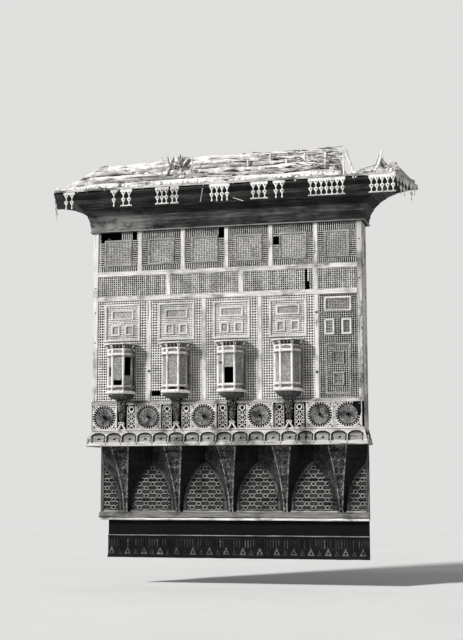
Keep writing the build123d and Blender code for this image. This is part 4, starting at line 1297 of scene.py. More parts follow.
SKIRT_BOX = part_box("scalloped_skirt")
SKIRT_FACE = POST_FACE + 0.025
SKIRT_FOOT = SKIRT_BOX[0].z
SKIRT_FLARE = -SKIRT_BOX[0].y - POST_FACE - 0.025
SKIRT_SLOPE = math.hypot(SKIRT_FOOT, SKIRT_FLARE)
SKIRT_RISE = -SKIRT_FOOT / SKIRT_SLOPE
SKIRT_LEAN = SKIRT_FLARE / SKIRT_SLOPE
NICHES = 17
SIDE_NICHES = 2
SPLIT_NICHE = 13
NICHE_RIM = 0.011
NICHE_SPRING = -0.120
NICHE_CROWN = -0.044
NICHE_EYE = -0.146
NICHE_FOOT = -0.252
NICHE_COLUMNS = 18
NICHE_ROWS = 15
RIM_WIDTH = 0.021
SKIRT_BOARD = (-0.012, 0.0)
SKIRT_FOOT_BOARD = (-0.012, 0.002)
SKIRT_LINING = (-0.034, -0.027)
CORNER_BOARD = (-0.02, -0.001)
CORNER_WIDTH = 0.012
SPLIT_HALF = 0.004
COLUMN_LINE = (NICHE_FOOT + 0.02, NICHE_SPRING)
LINE_PLACE = 0.018
LINE_HALF = 0.006
COLUMN_PROFILE = [
    (NICHE_FOOT + 0.012, 0.003),
    (NICHE_FOOT + 0.03, 0.009),
    (NICHE_SPRING - 0.03, 0.012),
    (NICHE_SPRING, 0.008),
]


def skirt_board(side):
    if side == 0:
        out = (0, -SKIRT_RISE, SKIRT_LEAN)
        return Board((0, -SKIRT_FACE, 0), (1, 0, 0), (0, SKIRT_LEAN, SKIRT_RISE), out)
    up = (-side * SKIRT_LEAN, 0, SKIRT_RISE)
    return Board((side * HALF, 0, 0), (0, side, 0), up, (side * SKIRT_RISE, 0, SKIRT_LEAN))


def niche_arc(centre, half, steps=12):
    rise = NICHE_CROWN - NICHE_SPRING
    angles = [math.pi * k / steps for k in range(steps + 1)]
    return [(centre - half * math.cos(angle), NICHE_SPRING + rise * math.sin(angle)) for angle in angles]


def niche_depth(across, v):
    """The shell sinks from the crown to its eye and swells to a bright lip at the foot."""
    round_off = math.cos(min(1.0, abs(across)) * math.pi / 2) ** 0.6
    if v > NICHE_EYE:
        return 0.012 + 0.017 * round_off * (NICHE_CROWN - v) / (NICHE_CROWN - NICHE_EYE)
    share = min(1.0, (NICHE_EYE - v) / 0.075)
    return 0.002 + (0.010 + 0.017 * round_off) * (1 - math.sin(share * math.pi / 2))


def niche_point(centre, half, across, v):
    """A place on the shell, with folds that fan out above its eye."""
    reach = half
    if v > NICHE_SPRING:
        reach = half * math.sqrt(max(0.0, 1 - ((v - NICHE_SPRING) / (NICHE_CROWN - NICHE_SPRING)) ** 2))
    u = centre + reach * across
    angle = math.atan2(v - NICHE_EYE, u - centre)
    near = min(1.0, math.hypot(u - centre, v - NICHE_EYE) / 0.05)
    fold = 0.003 * math.cos(11 * angle) * near if v > NICHE_EYE else 0.0
    return (u, v, -niche_depth(across, v) - fold)


def niche_finish(i, j):
    """Painted light and shade on the shell: pale at the foot, where the lip faces up, painted shade at the
    sides and crown, middling between.
    """
    shaded = i < 2 or i > NICHE_COLUMNS - 3 or (i < 3 and j < 8)
    if shaded and j > 2:
        return SHELL_SHADE_AND_KNOT
    if j < 4:
        return SKIRT_WOOD
    return SHELL_WOOD if j < 12 else SHELL_SHADE_AND_KNOT


def niche_shell(heap, board, centre, half, worn):
    grid = []
    for j in range(NICHE_ROWS + 1):
        v = NICHE_FOOT + (NICHE_CROWN - NICHE_FOOT) * j / NICHE_ROWS
        for i in range(NICHE_COLUMNS + 1):
            grid.append(niche_point(centre, half, -1 + 2 * i / NICHE_COLUMNS, v))
    for j in range(NICHE_ROWS):
        for i in range(NICHE_COLUMNS):
            low = j * (NICHE_COLUMNS + 1) + i
            high = low + NICHE_COLUMNS + 1
            quad = [grid[low], grid[low + 1], grid[high + 1], grid[high]]
            heap.on(board, (quad, [(0, 1, 2, 3)]), niche_finish(i, j))
    # The eye is a plug painted black as the shade in it; the pale knob above and to its left is a painted
    # highlight.
    if not worn:
        heap.on(board, boss(centre + 0.006, NICHE_EYE, 0.019, 8, -0.034, -0.016, 0.003), SHADE_AND_JOINT_BLACK)
        heap.on(board, boss(centre - 0.013, NICHE_EYE + 0.014, 0.011, 7, -0.03, -0.010, 0.004))


def skirt_side(heap, side, start, stop, count):
    board = skirt_board(side)
    pitch = (stop - start) / count
    half = pitch / 2 - NICHE_RIM
    limit = 0.5 if side else HALF - 1e-6

    def edge(u, v):
        """Ends of the board spread with the flare."""
        return math.copysign(abs(u) - v * SKIRT_LEAN, u) if abs(u) > limit else u

    def spread(outline):
        return [(edge(u, v), v) for u, v in outline]

    def between(low, high, foot, head):
        """A strip of the board from one level to another, spread at its ends."""
        return spread([(low, foot), (high, foot), (high, head), (low, head)])

    def niche(k):
        """The board round one arch, the arch's rim painted black as the shadow under it, and the shell in it;
        one niche has a split painted black as shade.
        """
        centre = start + pitch * (k + 0.5)
        arc = niche_arc(centre, half)
        turn = len(arc) // 2
        left = [(centre - pitch / 2, 0), (centre - pitch / 2, NICHE_SPRING), *arc[: turn + 1], (centre, 0)]
        right = [(centre, 0), *arc[turn:], (centre + pitch / 2, NICHE_SPRING), (centre + pitch / 2, 0)]
        for outline in (left, right):
            heap.on(board, prism(spread(outline), *SKIRT_BOARD))
        heap.on(board, ribbon(arc, RIM_WIDTH, -0.016, 0.001), SHADE_AND_JOINT_BLACK)
        niche_shell(heap, board, centre, half, side == 0 and k == count - 1)
        if side == 0 and k == SPLIT_NICHE:
            split = (centre - SPLIT_HALF, centre + SPLIT_HALF)
            slab(heap, board, split, (NICHE_FOOT, NICHE_CROWN), (-0.03, 0.0), SHADE_AND_JOINT_BLACK)

    def column(k):
        """A small column between two niches, with a line painted black as shade on either side."""
        at = start + pitch * k
        heap.on(board, lathe(COLUMN_PROFILE, 8), shift=(edge(at, NICHE_FOOT), 0, -0.004))
        if 0 < abs(at) < HALF - 0.02 or side:
            for u in (at - LINE_PLACE, at + LINE_PLACE):
                line = (u - LINE_HALF, u + LINE_HALF)
                slab(heap, board, line, COLUMN_LINE, (-0.03, -0.003), SHADE_AND_JOINT_BLACK)

    for k in range(count):
        niche(k)
    for at, inner in ((start, start + CORNER_WIDTH), (stop, stop - CORNER_WIDTH)):
        corner = [(inner, NICHE_SPRING), (edge(at, NICHE_SPRING), NICHE_SPRING)]
        corner += [(edge(at, NICHE_FOOT), NICHE_FOOT), (inner, NICHE_FOOT)]
        heap.on(board, prism(corner, *CORNER_BOARD))
    for k in range(1 if side < 0 else 0, count if side > 0 else count + 1):
        column(k)
    heap.on(board, prism(between(start, stop, -SKIRT_SLOPE, NICHE_FOOT), *SKIRT_FOOT_BOARD))
    # The lining behind the skirt is painted black as shade.
    heap.on(board, prism(between(start, stop, -SKIRT_SLOPE, 0), *SKIRT_LINING), SHADE_AND_JOINT_BLACK)


def scalloped_skirt():
    heap = Heap()
    skirt_side(heap, 0, -HALF, HALF, NICHES)
    skirt_side(heap, -1, 0, SKIRT_FACE, SIDE_NICHES)
    skirt_side(heap, 1, -SKIRT_FACE, 0, SIDE_NICHES)
    woods = [SKIRT_WOOD, SHELL_WOOD, SHADE_AND_JOINT_BLACK, SHELL_SHADE_AND_KNOT]
    heap.piece("shell_skirt", woods, "carved_wood", ["scalloped_skirt"])


scalloped_skirt()


# Brackets and arched panel

PANEL_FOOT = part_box("arched_panel")[0].z
PANEL_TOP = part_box("arched_panel")[1].z
PANEL_RISE = PANEL_TOP - PANEL_FOOT
PANEL_FACE = 0.03
BRACKETS = 5
BRACKET_PITCH = 2 * HALF / BRACKETS
BRACKET_TIERS = 10
BRACKET_EDGE = [(-0.006, -0.012), (0, 0.004), (0.014, 0.004)]
TIER_STEPS = 9
CELL_WIDTH = 0.082
CELL_DEPTH = 0.020
FLANK_POINTS = 7
FLANK_BOW = 0.035
FRONT_POINTS = 26
GROWTH = 1.6
FRONT_HALVES = (0.03, 0.16)
BRACKET_DEPTHS = (0.09, 0.436)
TIER_JUT = 0.018
LEAF = [(0, 0.075), (0.022, 0.045), (0.04, 0.002)]
BRACKET_WOODS = [BRACKET_WOOD, BRACKET_RIB, GREY_CARVING, BRACKET_SHADED_SIDE, BRACKET_LIT]
ARCH_SPAN = BRACKET_PITCH / 2 - 0.08
ARCH_SPRING = PANEL_FOOT + 0.1
ARCH_APEX = -0.525
ARCH_RIB = 0.056
ARCH_POINTS = 26
INTERLACE_STEP = (0.1165, 0.133)
INTERLACE_TIES = ((1, 0.5), (1, -0.5))
INTERLACE_FOOT = PANEL_FOOT + 0.075
INTERLACE_WIDTH = 0.018
INTERLACE_TOP = 0.014
INTERLACE_COLUMNS = range(-4, 4)
INTERLACE_ROWS = range(-1, 8)
TIE_SHARES = (0.3, 0.7)
TIE_TOP = 0.012
RING_RADIUS = 0.035
HOLE_RADIUS = 0.023
CARVING_FOOT = -0.002
CARVING_MARGIN = 0.03
CARVING_HEAD = ARCH_APEX - 0.06
PANEL_JOINTS = (0.16, 0.43)
JOINT_HALF = 0.007
PANEL_FILLET = 0.022
PANEL_STILE = 0.055
PANEL_WOODS = [PANEL_WOOD, SHADE_AND_JOINT_BLACK, PANEL_GROUND, RIB_WOOD, GREY_CARVING]


def arch_half(level):
    """Half the clear width of a stilted, pointed arch at a level."""
    rise = ARCH_APEX - ARCH_SPRING
    radius = (ARCH_SPAN**2 + rise**2) / (2 * ARCH_SPAN)
    height = min(max(level - ARCH_SPRING, 0), rise)
    return math.sqrt(radius**2 - height**2) - (radius - ARCH_SPAN)


def cell_depth(across, width, tier):
    """Sunk pointed cells side by side in each tier of a bracket."""
    columns = max(1, round(width / CELL_WIDTH))
    place = (across * columns) % 1 - 0.5
    sunk = 0.14 < tier < 0.95 - 1.1 * abs(place) and abs(place) < 0.38
    return CELL_DEPTH if sunk else 0.0


def bracket_loop(x, level):
    """The bracket's outline in plan: two bowed flanks and a celled front between ribs."""
    share = (level - PANEL_FOOT) / PANEL_RISE
    grown = share**GROWTH
    half_front = FRONT_HALVES[0] + FRONT_HALVES[1] * grown
    half_back = BRACKET_PITCH / 2 - arch_half(level)
    tier = (share * BRACKET_TIERS) % 1
    depth = BRACKET_DEPTHS[0] + BRACKET_DEPTHS[1] * grown + TIER_JUT * tier**2
    left = []
    for k in range(FLANK_POINTS):
        t = k / FLANK_POINTS
        bow = FLANK_BOW * grown * math.sin(math.pi * t)
        across = -half_back + (half_back - half_front) * t + bow
        left.append((across, PANEL_FACE + (depth - PANEL_FACE) * t - bow))
    left += [(-half_front + u, depth + d) for u, d in BRACKET_EDGE]
    inner = half_front - 0.018
    face = []
    for k in range(FRONT_POINTS):
        across = (k + 0.5) / FRONT_POINTS
        face.append((-inner + 2 * inner * across, depth - 0.008 - cell_depth(across, 2 * inner, tier)))
    right = [(-u, d) for u, d in reversed(left)]
    return [(x + u, -d, level) for u, d in left + face + right]


def bracket_finish(k, around):
    """Painted light on the left flank, painted shade on the right flank, pale ribs beside the front, and the
    front itself.
    """
    at = k % around
    side = min(at, around - 2 - at)
    if side < FLANK_POINTS:
        return BRACKET_LIT if at < FLANK_POINTS else BRACKET_SHADED_SIDE
    return BRACKET_RIB if side < FLANK_POINTS + 2 else BRACKET_WOOD


def bracket(index):
    heap = Heap()
    x = BRACKET_PITCH * (index - (BRACKETS - 1) / 2)
    count = BRACKET_TIERS * TIER_STEPS
    loops = [bracket_loop(x, PANEL_FOOT + PANEL_RISE * k / count) for k in range(count + 1)]
    points, faces = rings(loops)
    heap.add(points, faces)
    heap.finish[:-2] = [bracket_finish(k, len(loops[0])) for k in range(len(faces) - 2)]
    for side in (-1, 1):
        leaf = ribbon([(x + side * u, PANEL_FOOT + v) for u, v in LEAF], 0.018, -0.02, 0.016)
        heap.on(front_board(0.085), leaf, GREY_CARVING)
    heap.piece(f"carved_bracket_{index + 1}", BRACKET_WOODS, "bracket_wood", [f"bracket_{index + 1}"])


def in_arch(u, v, centre):
    """Whether a ring at this place would lie clear inside the arch."""
    clear = abs(u - centre) < arch_half(v) - ARCH_RIB + 0.01
    return clear and PANEL_FOOT < v < ARCH_APEX - 0.08 and abs(u) < HALF - 0.02


def within_arch(shape, centre):
    """Draws a shape in so that it stays between the ribs of its arch."""
    points, faces = shape
    kept = []
    for u, v, w in points:
        v = min(max(v, PANEL_FOOT + CARVING_MARGIN), CARVING_HEAD)
        reach = max(0.0, arch_half(v) - ARCH_RIB)
        least = max(centre - reach, -HALF + CARVING_MARGIN)
        most = min(centre + reach, HALF - CARVING_MARGIN)
        kept.append((min(max(u, least), most), v, w))
    return kept, faces


def interlace(heap, board, centre):
    """Hexagonal rings round holes painted black as shade, tied to each other by short bars."""
    step_u, step_v = INTERLACE_STEP
    for column in INTERLACE_COLUMNS:
        for row in INTERLACE_ROWS:
            u = centre + column * step_u
            v = INTERLACE_FOOT + (row + 0.5 * (column % 2)) * step_v
            if in_arch(u, v, centre):
                edge = circle(u, v, RING_RADIUS, 6)
                ring = ribbon(edge, INTERLACE_WIDTH, CARVING_FOOT, INTERLACE_TOP, 0.45)
                heap.on(board, within_arch(ring, centre))
                hole = boss(u, v, HOLE_RADIUS, 6, CARVING_FOOT, 0.002, 0.001)
                heap.on(board, within_arch(hole, centre), SHADE_AND_JOINT_BLACK)
            for across, along in INTERLACE_TIES:
                far = (u + across * step_u, v + along * step_v)
                if in_arch(u, v, centre) or in_arch(*far, centre):
                    bar = [(u + (far[0] - u) * share, v + (far[1] - v) * share) for share in TIE_SHARES]
                    tie = ribbon(bar, INTERLACE_WIDTH, CARVING_FOOT, TIE_TOP)
                    heap.on(board, within_arch(tie, centre), GREY_CARVING)


def arched_panel():
    heap = Heap()
    board = front_board(PANEL_FACE)
    full, levels = (-HALF, HALF), (PANEL_FOOT, PANEL_TOP)
    slab(heap, board, full, levels, (-PANEL_FACE, 0.0), PANEL_GROUND)
    for k in range(BRACKETS + 1):
        centre = BRACKET_PITCH * (k - BRACKETS / 2)
        curve = [(arch_half(v), v) for v in np.linspace(PANEL_FOOT, ARCH_APEX - 0.004, ARCH_POINTS)]
        for side in (-1, 1):
            if abs(centre + side) > HALF:
                continue
            path = [(centre + side * (half - ARCH_RIB / 2), v) for half, v in curve if half > ARCH_RIB / 2]
            path.append((centre, ARCH_APEX - 0.03))
            heap.on(board, ribbon(path, ARCH_RIB, CARVING_FOOT, 0.012), RIB_WOOD)
        interlace(heap, board, centre)
    for share in PANEL_JOINTS:
        level = PANEL_FOOT + PANEL_RISE * share
        slab(heap, board, full, (level - JOINT_HALF, level + JOINT_HALF), (-0.01, 0.0145), SHADE_AND_JOINT_BLACK)
    slab(heap, board, full, (PANEL_FOOT, PANEL_FOOT + PANEL_FILLET), (-0.01, 0.014))
    for side in (-1, 1):
        stile = sorted((side * HALF, side * (HALF - PANEL_STILE)))
        slab(heap, board, stile, levels, (-0.01, 0.02), RIB_WOOD)
    heap.piece("interlaced_panel", PANEL_WOODS, "bracket_wood", ["arched_panel"])


for index in range(BRACKETS):
    bracket(index)
arched_panel()


# Ledge, recess and carved fascia

LEDGE_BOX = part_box("ledge")
FASCIA_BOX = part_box("carved_fascia")
FASCIA_FACE = 0.075
WEAR_STEP = 0.09
LEDGE_WEAR = 0.005
FASCIA_WEAR = 0.004
FLUTE_PITCH = 0.0485
FLUTE_DROPS = (0.20, 0.215, 0.215, 0.18)
FLUTE_WOODS = (FASCIA_WOOD, FASCIA_WOOD, FLUTE_WOOD, FLUTE_WOOD, FLUTE_WOOD, FASCIA_EDGE)
MOTIFS = 16
MOTIF_PITCH = 0.291
MOTIF_FIRST = 0.488 - 9 * MOTIF_PITCH
MOTIF_SIZES = (0.066, 0.047)
MOTIF_LEVELS = (0.118, 0.102)

# Profiles as (distance from the wall, level): the ledge's from its top or foot
LEDGE_FACE = [(0.095, 0), (0.128, -0.022), (0.142, -0.040)]
LEDGE_GROOVE = [(0, 0.056), (0.132, 0.056), (0.132, 0.034), (0, 0.034)]
LEDGE_NOSE = [(0, 0.038), (0.146, 0.038), (0.150, 0.024), (0.144, 0.006), (0.112, 0), (0, 0)]
FASCIA_BEAD = [(0.05, 0), (FASCIA_FACE + 0.006, 0), (FASCIA_FACE + 0.010, -0.012), (0.05, -0.018)]
FASCIA_HEAD = [(0, -0.002), (FASCIA_FACE, -0.004), (FASCIA_FACE, -0.03), (FASCIA_FACE - 0.012, -0.045)]
FASCIA_FOOT = [
    (FASCIA_FACE - 0.012, 0.07), (FASCIA_FACE + 0.003, 0.06), (FASCIA_FACE + 0.003, 0.04),
    (0.096, 0.03), (0.104, 0.018), (0.104, 0.005), (0, 0.005),
]


def at_level(profile, level):
    return [(depth, level + rise) for depth, rise in profile]


def run_along(heap, profile, span, finish, rough):
    """A (depth, level) profile pulled along the wall, with worn edges."""
    count = max(1, round((span[1] - span[0]) / WEAR_STEP))
    loops = []
    for k in range(count + 1):
        x = span[0] + (span[1] - span[0]) * k / count
        loop = []
        for i, (depth, level) in enumerate(profile):
            wear = rough if depth > 0.01 and 0 < k < count else 0.0
            inward = wear * abs(wave(x * 4, i * 7.1))
            loop.append((x, inward - depth, level + wear * wave(x * 4, i * 7.1, 9.0)))
        loops.append(loop)
    heap.add(*rings(loops), finish)


def ledge():
    """A grey face over a groove painted black as shade, and a worn, pale lower edge."""
    heap = Heap()
    foot, top = LEDGE_BOX[0].z, LEDGE_BOX[1].z
    face = [(0, top), *at_level(LEDGE_FACE, top), (0.144, foot + 0.052), (0, foot + 0.052)]
    run_along(heap, face, (-HALF, HALF), LEDGE_WOOD, LEDGE_WEAR)
    run_along(heap, at_level(LEDGE_GROOVE, foot), (-HALF, HALF), SHADE_AND_JOINT_BLACK, LEDGE_WEAR)
    run_along(heap, at_level(LEDGE_NOSE, foot), (-HALF, HALF), LEDGE_EDGE, LEDGE_WEAR)
    heap.piece("worn_ledge", [LEDGE_WOOD, SHADE_AND_JOINT_BLACK, LEDGE_EDGE], "frame_wood", ["ledge"])


def motif(heap, board, u, v, size, finish):
    """A raised triangle round a hole painted black as shade."""
    corners = [(u - size, v - size), (u + size, v - size), (u, v + size * 1.15)]
    heap.on(board, raised(corners, -0.002, 0.010, 0.004), finish)
    heap.on(board, boss(u, v - size * 0.25, size * 0.32, 6, 0.002, 0.0115, 0.001), SHADE_AND_JOINT_BLACK)


def flutes(heap, board, span, top):
    """Short rods of uneven length side by side under the bead."""
    count, step = fitted(*span, FLUTE_PITCH)
    for k in range(count):
        foot = top - random.choice(FLUTE_DROPS)
        rod = lathe([(foot, 0.004), (foot + 0.012, 0.010), (top - 0.085, 0.010), (top - 0.07, 0.004)], 5)
        heap.on(board, rod, random.choice(FLUTE_WOODS), (span[0] + (k + 0.5) * step, 0, 0))


def carved_fascia():
    heap = Heap()
    low, high = FASCIA_BOX
    board = front_board(FASCIA_FACE - 0.012)
    span = (low.x, high.x)
    body = at_level(FASCIA_HEAD, high.z) + at_level(FASCIA_FOOT, low.z)
    run_along(heap, at_level(FASCIA_BEAD, high.z), span, GREY_CARVING, FASCIA_WEAR)
    run_along(heap, body, span, FASCIA_WOOD, FASCIA_WEAR)
    flutes(heap, board, span, high.z)
    for k in range(MOTIFS):
        u = MOTIF_FIRST + k * MOTIF_PITCH
        motif(heap, board, u, low.z + MOTIF_LEVELS[0], MOTIF_SIZES[0], FASCIA_EDGE)
        if u + MOTIF_PITCH / 2 < span[1] - 0.05:
            motif(heap, board, u + MOTIF_PITCH / 2, low.z + MOTIF_LEVELS[1], MOTIF_SIZES[1], FLUTE_WOOD)
    woods = [FASCIA_WOOD, FASCIA_EDGE, SHADE_AND_JOINT_BLACK, GREY_CARVING, FLUTE_WOOD]
    heap.piece("fluted_fascia", woods, "carved_wood", ["carved_fascia"])


ledge()
carved_fascia()
coat(SHADE_AND_JOINT_BLACK, "recess_board")


# Coved cornice

COVE_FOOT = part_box("cornice_front")[0].z
EAVE_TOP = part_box("cornice_front")[1].z
COVE_BOARD = 0.035
COVE_REACH = 0.5
COVE_RISE = 0.56
COVE_STRAIGHT = 0.04
COVE_LIP = COVE_BOARD + COVE_REACH
LIP_DEPTH = 0.05
LIP_HEIGHT = 0.032
EAVE_LEFT = 0.545
EAVE_RIGHT = 0.64
EAVE_WALL = 0.9
COVE_BOARDS = 7
BOARD_SHARES = (0.015, 0.985)
BOARD_LAP = 0.006
BOARD_BACK = 0.03
LINING = (0.012, 0.031)
BOARD_WOODS = (COVE_WOOD, COVE_WORN, COVE_DARK)
COVE_BEAD = [(0.03, 0.002), (0.047, 0.006), (0.050, 0.014), (0.047, 0.022), (0.03, 0.026)]


def splayed(out):
    """The plan of the cornice at an overhang: it spreads wider towards the wall."""
    share = out / COVE_LIP
    front = POST_FACE + out
    return [
        (-HALF - EAVE_WALL * share, 0),
        (-HALF - EAVE_LEFT * share, -front),
        (HALF + EAVE_RIGHT * share, -front),
        (HALF + EAVE_WALL * share, 0),
    ]


def cove_point(angle, inward):
    out = COVE_BOARD + COVE_REACH * (1 - math.cos(angle)) - inward * math.cos(angle)
    return out, COVE_FOOT + COVE_STRAIGHT + COVE_RISE * math.sin(angle) + inward * math.sin(angle)


def hoop(heap, profile, finish):
    """A closed (out, level) profile carried round the three sides of the cornice."""
    loops = [[(x, y, level) for x, y in splayed(out)] for out, level in profile]
    heap.add(*rings(loops + loops[:1], closed=False, caps=False), finish)
    for end in (0, -1):
        heap.add([loop[end] for loop in loops], [tuple(range(len(loops)))], finish)


def cove_boards(heap):
    """Lapped boards, each a little proud of the one below."""
    for k in range(COVE_BOARDS):
        start, stop = (math.pi / 2 * (k + share) / COVE_BOARDS for share in BOARD_SHARES)
        profile = []
        for step in range(4):
            angle = start + (stop - start) * step / 3
            profile.append(cove_point(angle, -0.001 - BOARD_LAP * step / 3))
        profile += [cove_point(angle, BOARD_BACK) for angle in (stop, start)]
        hoop(heap, profile, BOARD_WOODS[k % 3])


def cove():
    heap = Heap()
    cove_boards(heap)
    angles = [math.pi / 2 * k / 12 for k in range(13)]
    lining = [cove_point(angle, LINING[0]) for angle in angles]
    lining += [cove_point(angle, LINING[1]) for angle in reversed(angles)]
    # The lining behind the boards is painted black as shade.
    hoop(heap, lining, SHADE_AND_JOINT_BLACK)
    straight = COVE_FOOT + COVE_STRAIGHT
    hoop(heap, [(0, COVE_FOOT), (COVE_BOARD, COVE_FOOT), (COVE_BOARD, straight), (0, straight)], COVE_WOOD)
    hoop(heap, at_level(COVE_BEAD, COVE_FOOT), GREY_CARVING)
    inner, low = COVE_LIP - LIP_DEPTH, EAVE_TOP - LIP_HEIGHT
    hoop(heap, [(inner, low), (COVE_LIP, low), (COVE_LIP, EAVE_TOP), (inner, EAVE_TOP)], COVE_WOOD)
    woods = [*BOARD_WOODS, SHADE_AND_JOINT_BLACK, GREY_CARVING]
    heap.piece("coved_boards", woods, "cornice_wood", ["cornice_front", "cornice_left", "cornice_right"])


cove()


# Roof

DECK_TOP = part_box("roof_deck")[1].z
DECK_END = 3.25
PILE_START = 3.2
PILE_STEP = 0.05
ROOF_SLOPE = 0.76
STRATA = 6
STRATUM_DAUB = (DAUB, OLD_DAUB, DAUB, OLD_DAUB, DAUB, DAUB)
PILE_FALL = 1.62
PILE_END = 2.02
LEAST_PILE = 0.04
NOSE_ROUGHNESS = 0.014
GAP_SHARE = 0.24
GAP_LIMITS = (0.03, 0.5)
DECK_STEP = 0.065
DECK_BREAKS = (0.035, 0.02)
DECK_SAG = 0.012
EAVE_LIMIT = -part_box("roof_deck")[0].y
TOP_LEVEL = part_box("roof_fill")[1].z - 0.015


def crest_line():
    """The places along the wall where the crest of the roof turns, and its height there."""
    highest = {}
    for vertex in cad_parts["roof_fill"].data.vertices:
        x = round(vertex.co.x, 3)
        highest[x] = max(highest.get(x, DECK_TOP), vertex.co.z)
    return sorted(highest), [highest[x] for x in sorted(highest)]


CREST = crest_line()


def crest_over_deck(x):
    return float(np.interp(x, *CREST)) - DECK_TOP


def roof_reach(x):
    """How far the roof reaches from the wall at a place along it."""
    (wall_left, _), (left, front), (right, _), (wall_right, _) = splayed(COVE_LIP)
    if x < left:
        return -front * max(0.0, x - wall_left) / (left - wall_left)
    if x > right:
        return -front * max(0.0, wall_right - x) / (wall_right - right)
    return -front


def roof_surface(x, y):
    """The height of the roof at a place in plan."""
    reach = roof_reach(x)
    slope = max(0.05, min(ROOF_SLOPE, reach * 0.7))
    share = min(1.0, max(0.0, (reach + y) / slope))
    return DECK_TOP + crest_over_deck(x) * share


def pile_height(x, order):
    """The height of the roof over its deck, which crumbles away at the right end."""
    height = max(LEAST_PILE, crest_over_deck(x))
    if PILE_FALL < x < PILE_END:
        height *= 1 - 0.5 * (x - PILE_FALL) / (PILE_END - PILE_FALL) * (0.7 + 0.6 * wave(order * 3.7, x * 6))
    return height


def stratum_section(x, order):
    """One layer across the wall: a ragged nose over a shadowed gap."""
    reach = roof_reach(x)
    slope = min(ROOF_SLOPE, reach * 0.7)
    rise = pile_height(x, order) / STRATA
    ragged = 0.045 * wave(x * 3.1, order * 5.3) + 0.03 * wave(x * 9.7, order * 2.9)
    jut = ragged - 0.01 if order else -0.004 - abs(ragged) * 0.3
    front = max(0.05, min(reach, reach - slope * order / STRATA + jut))
    back = 0.0 if order == STRATA - 1 else max(0.0, front - slope / STRATA - 0.2)
    low = DECK_TOP - 0.03 + rise * order
    top = max(low + 0.02, DECK_TOP + rise * (order + 1) + 0.02 * wave(x * 2.3, order * 3.3, 2.0))
    thick = top - low
    nose = NOSE_ROUGHNESS * wave(x * 14, order, 5.0)
    share = GAP_SHARE + 0.8 * wave(x * 2.6, order * 4.1, 3.0)
    gap = thick * min(GAP_LIMITS[1], max(GAP_LIMITS[0], share))
    outline = [
        (0, low),
        (front - 0.09, low + 0.002),
        (front - 0.085, low + gap),
        (front - 0.012 + nose, low + gap + 0.02 * thick),
        (front + nose * 0.5 - 0.004, low + max(0.6 * thick, gap + 0.1 * thick)),
        (front - 0.03, low + 0.88 * thick),
        (front - 0.09, top + 0.012 * wave(x * 7, order, 1.0)),
        (max(back + 0.001, front - 0.2), top + 0.018 * wave(x * 5, order, 7.0)),
        (0, top + 0.01),
    ]
    return [(x, -max(back, out), min(level, TOP_LEVEL)) for out, level in outline]


def roof():
    """Ragged layers, each lying back from the one below; the underside and the back of the gap under each
    upper layer are painted black as shade.
    """
    heap = Heap()
    for order in range(STRATA):
        sections = [stratum_section(x, order) for x in np.arange(-PILE_START, PILE_START + 0.0001, PILE_STEP)]
        points, faces = rings(sections)
        heap.add(points, faces, STRATUM_DAUB[order])
        for k in range(len(faces) if order else 0):
            if k % len(sections[0]) < 2:
                heap.finish[k - len(faces)] = SHADE_AND_JOINT_BLACK
    heap.piece("layered_roof", [DAUB, OLD_DAUB, SHADE_AND_JOINT_BLACK], "roof_daub", ["roof_fill"])


def roof_deck():
    """Old boards whose front edge is broken back here and there."""
    heap = Heap()
    low, high = (corner.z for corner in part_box("roof_deck"))
    loops = []
    for x in np.arange(-DECK_END, DECK_END + 0.0001, DECK_STEP):
        broken = DECK_BREAKS[0] * max(0.0, wave(x * 6, 1.7))
        splintered = DECK_BREAKS[1] * max(0.0, wave(x * 19, 8.7))
        edge = max(0.02, roof_reach(x) + 0.02 - broken - splintered)
        sag = DECK_SAG * wave(x * 5, 4.1)
        under, over = low + max(0.0, sag), high + min(0.0, sag)
        loops.append([(x, 0, low), (x, -edge, under), (x, -edge, over), (x, 0, high)])
    heap.add(*rings(loops))
    heap.piece("worn_deck", [EAVE_WOOD], "pole_wood", ["roof_deck"])


def tube(heap, path, radii, sides, finish=None):
    """A stick through a line of points, with a radius at each."""
    path = [Vector(p) for p in path]
    loops = []
    for k, (point, radius) in enumerate(zip(path, radii)):
        along = (path[min(k + 1, len(path) - 1)] - path[max(k - 1, 0)]).normalized()
        across = along.cross(Vector((0.12, 0.93, 0.35))).normalized()
        other = along.cross(across)
        loop = []
        for i in range(sides):
            angle = math.tau * i / sides
            u, v = radius * math.cos(angle), radius * math.sin(angle)
            loop.append(tuple(point + across * u + other * v))
        loops.append(loop)
    heap.add(*rings(loops), finish)


def chunk(heap, centre, sizes, finishes):
    """A broken lump with eight uneven corners."""
    size = random.uniform(*sizes)
    finish = random.choice(finishes)
    points, faces = box_shape((-1, 1), (-1, 1), (-1, 1))
    turn = random.uniform(0, math.tau)
    shaped = []
    for point in points:
        u, v, w = (c * random.uniform(0.5, 1.0) for c in point)
        u, v = u * math.cos(turn) - v * math.sin(turn), u * math.sin(turn) + v * math.cos(turn)
        shaped.append((centre[0] + u * size, centre[1] + v * size * 0.8, centre[2] + w * size * 0.55))
    heap.add(shaped, faces, finish)


# Loose reeds: how many, spans along and out from the wall, lengths, lift off the roof and tilt
REEDS = [
    (90, (0.1, 1.8), (-0.98, -0.45), (0.3, 1.2), (-0.01, 0.02), 0.05),
    (50, (0.6, 1.75), (-0.6, -0.3), (0.3, 0.9), (0.0, 0.05), 0.08),
    (36, (1.4, 1.82), (-0.95, -0.5), (0.3, 0.6), (0.0, 0.05), 0.3),
    (40, (-1.7, 0.0), (-0.95, -0.5), (0.3, 0.9), (0.0, 0.02), 0.06),
]
REED_RADII = (0.005, 0.011)
FALLEN_STICKS = 34
ROOF_LUMPS = 90
EAVE_LUMPS = 240
LUMP_SIZES = (0.02, 0.06)
SLITS = 70
MOUND_LUMPS = 46
MOUND_STAKES = 22
MOUND = -0.80
MOUND_HEIGHT = 0.24
WISPS = 34


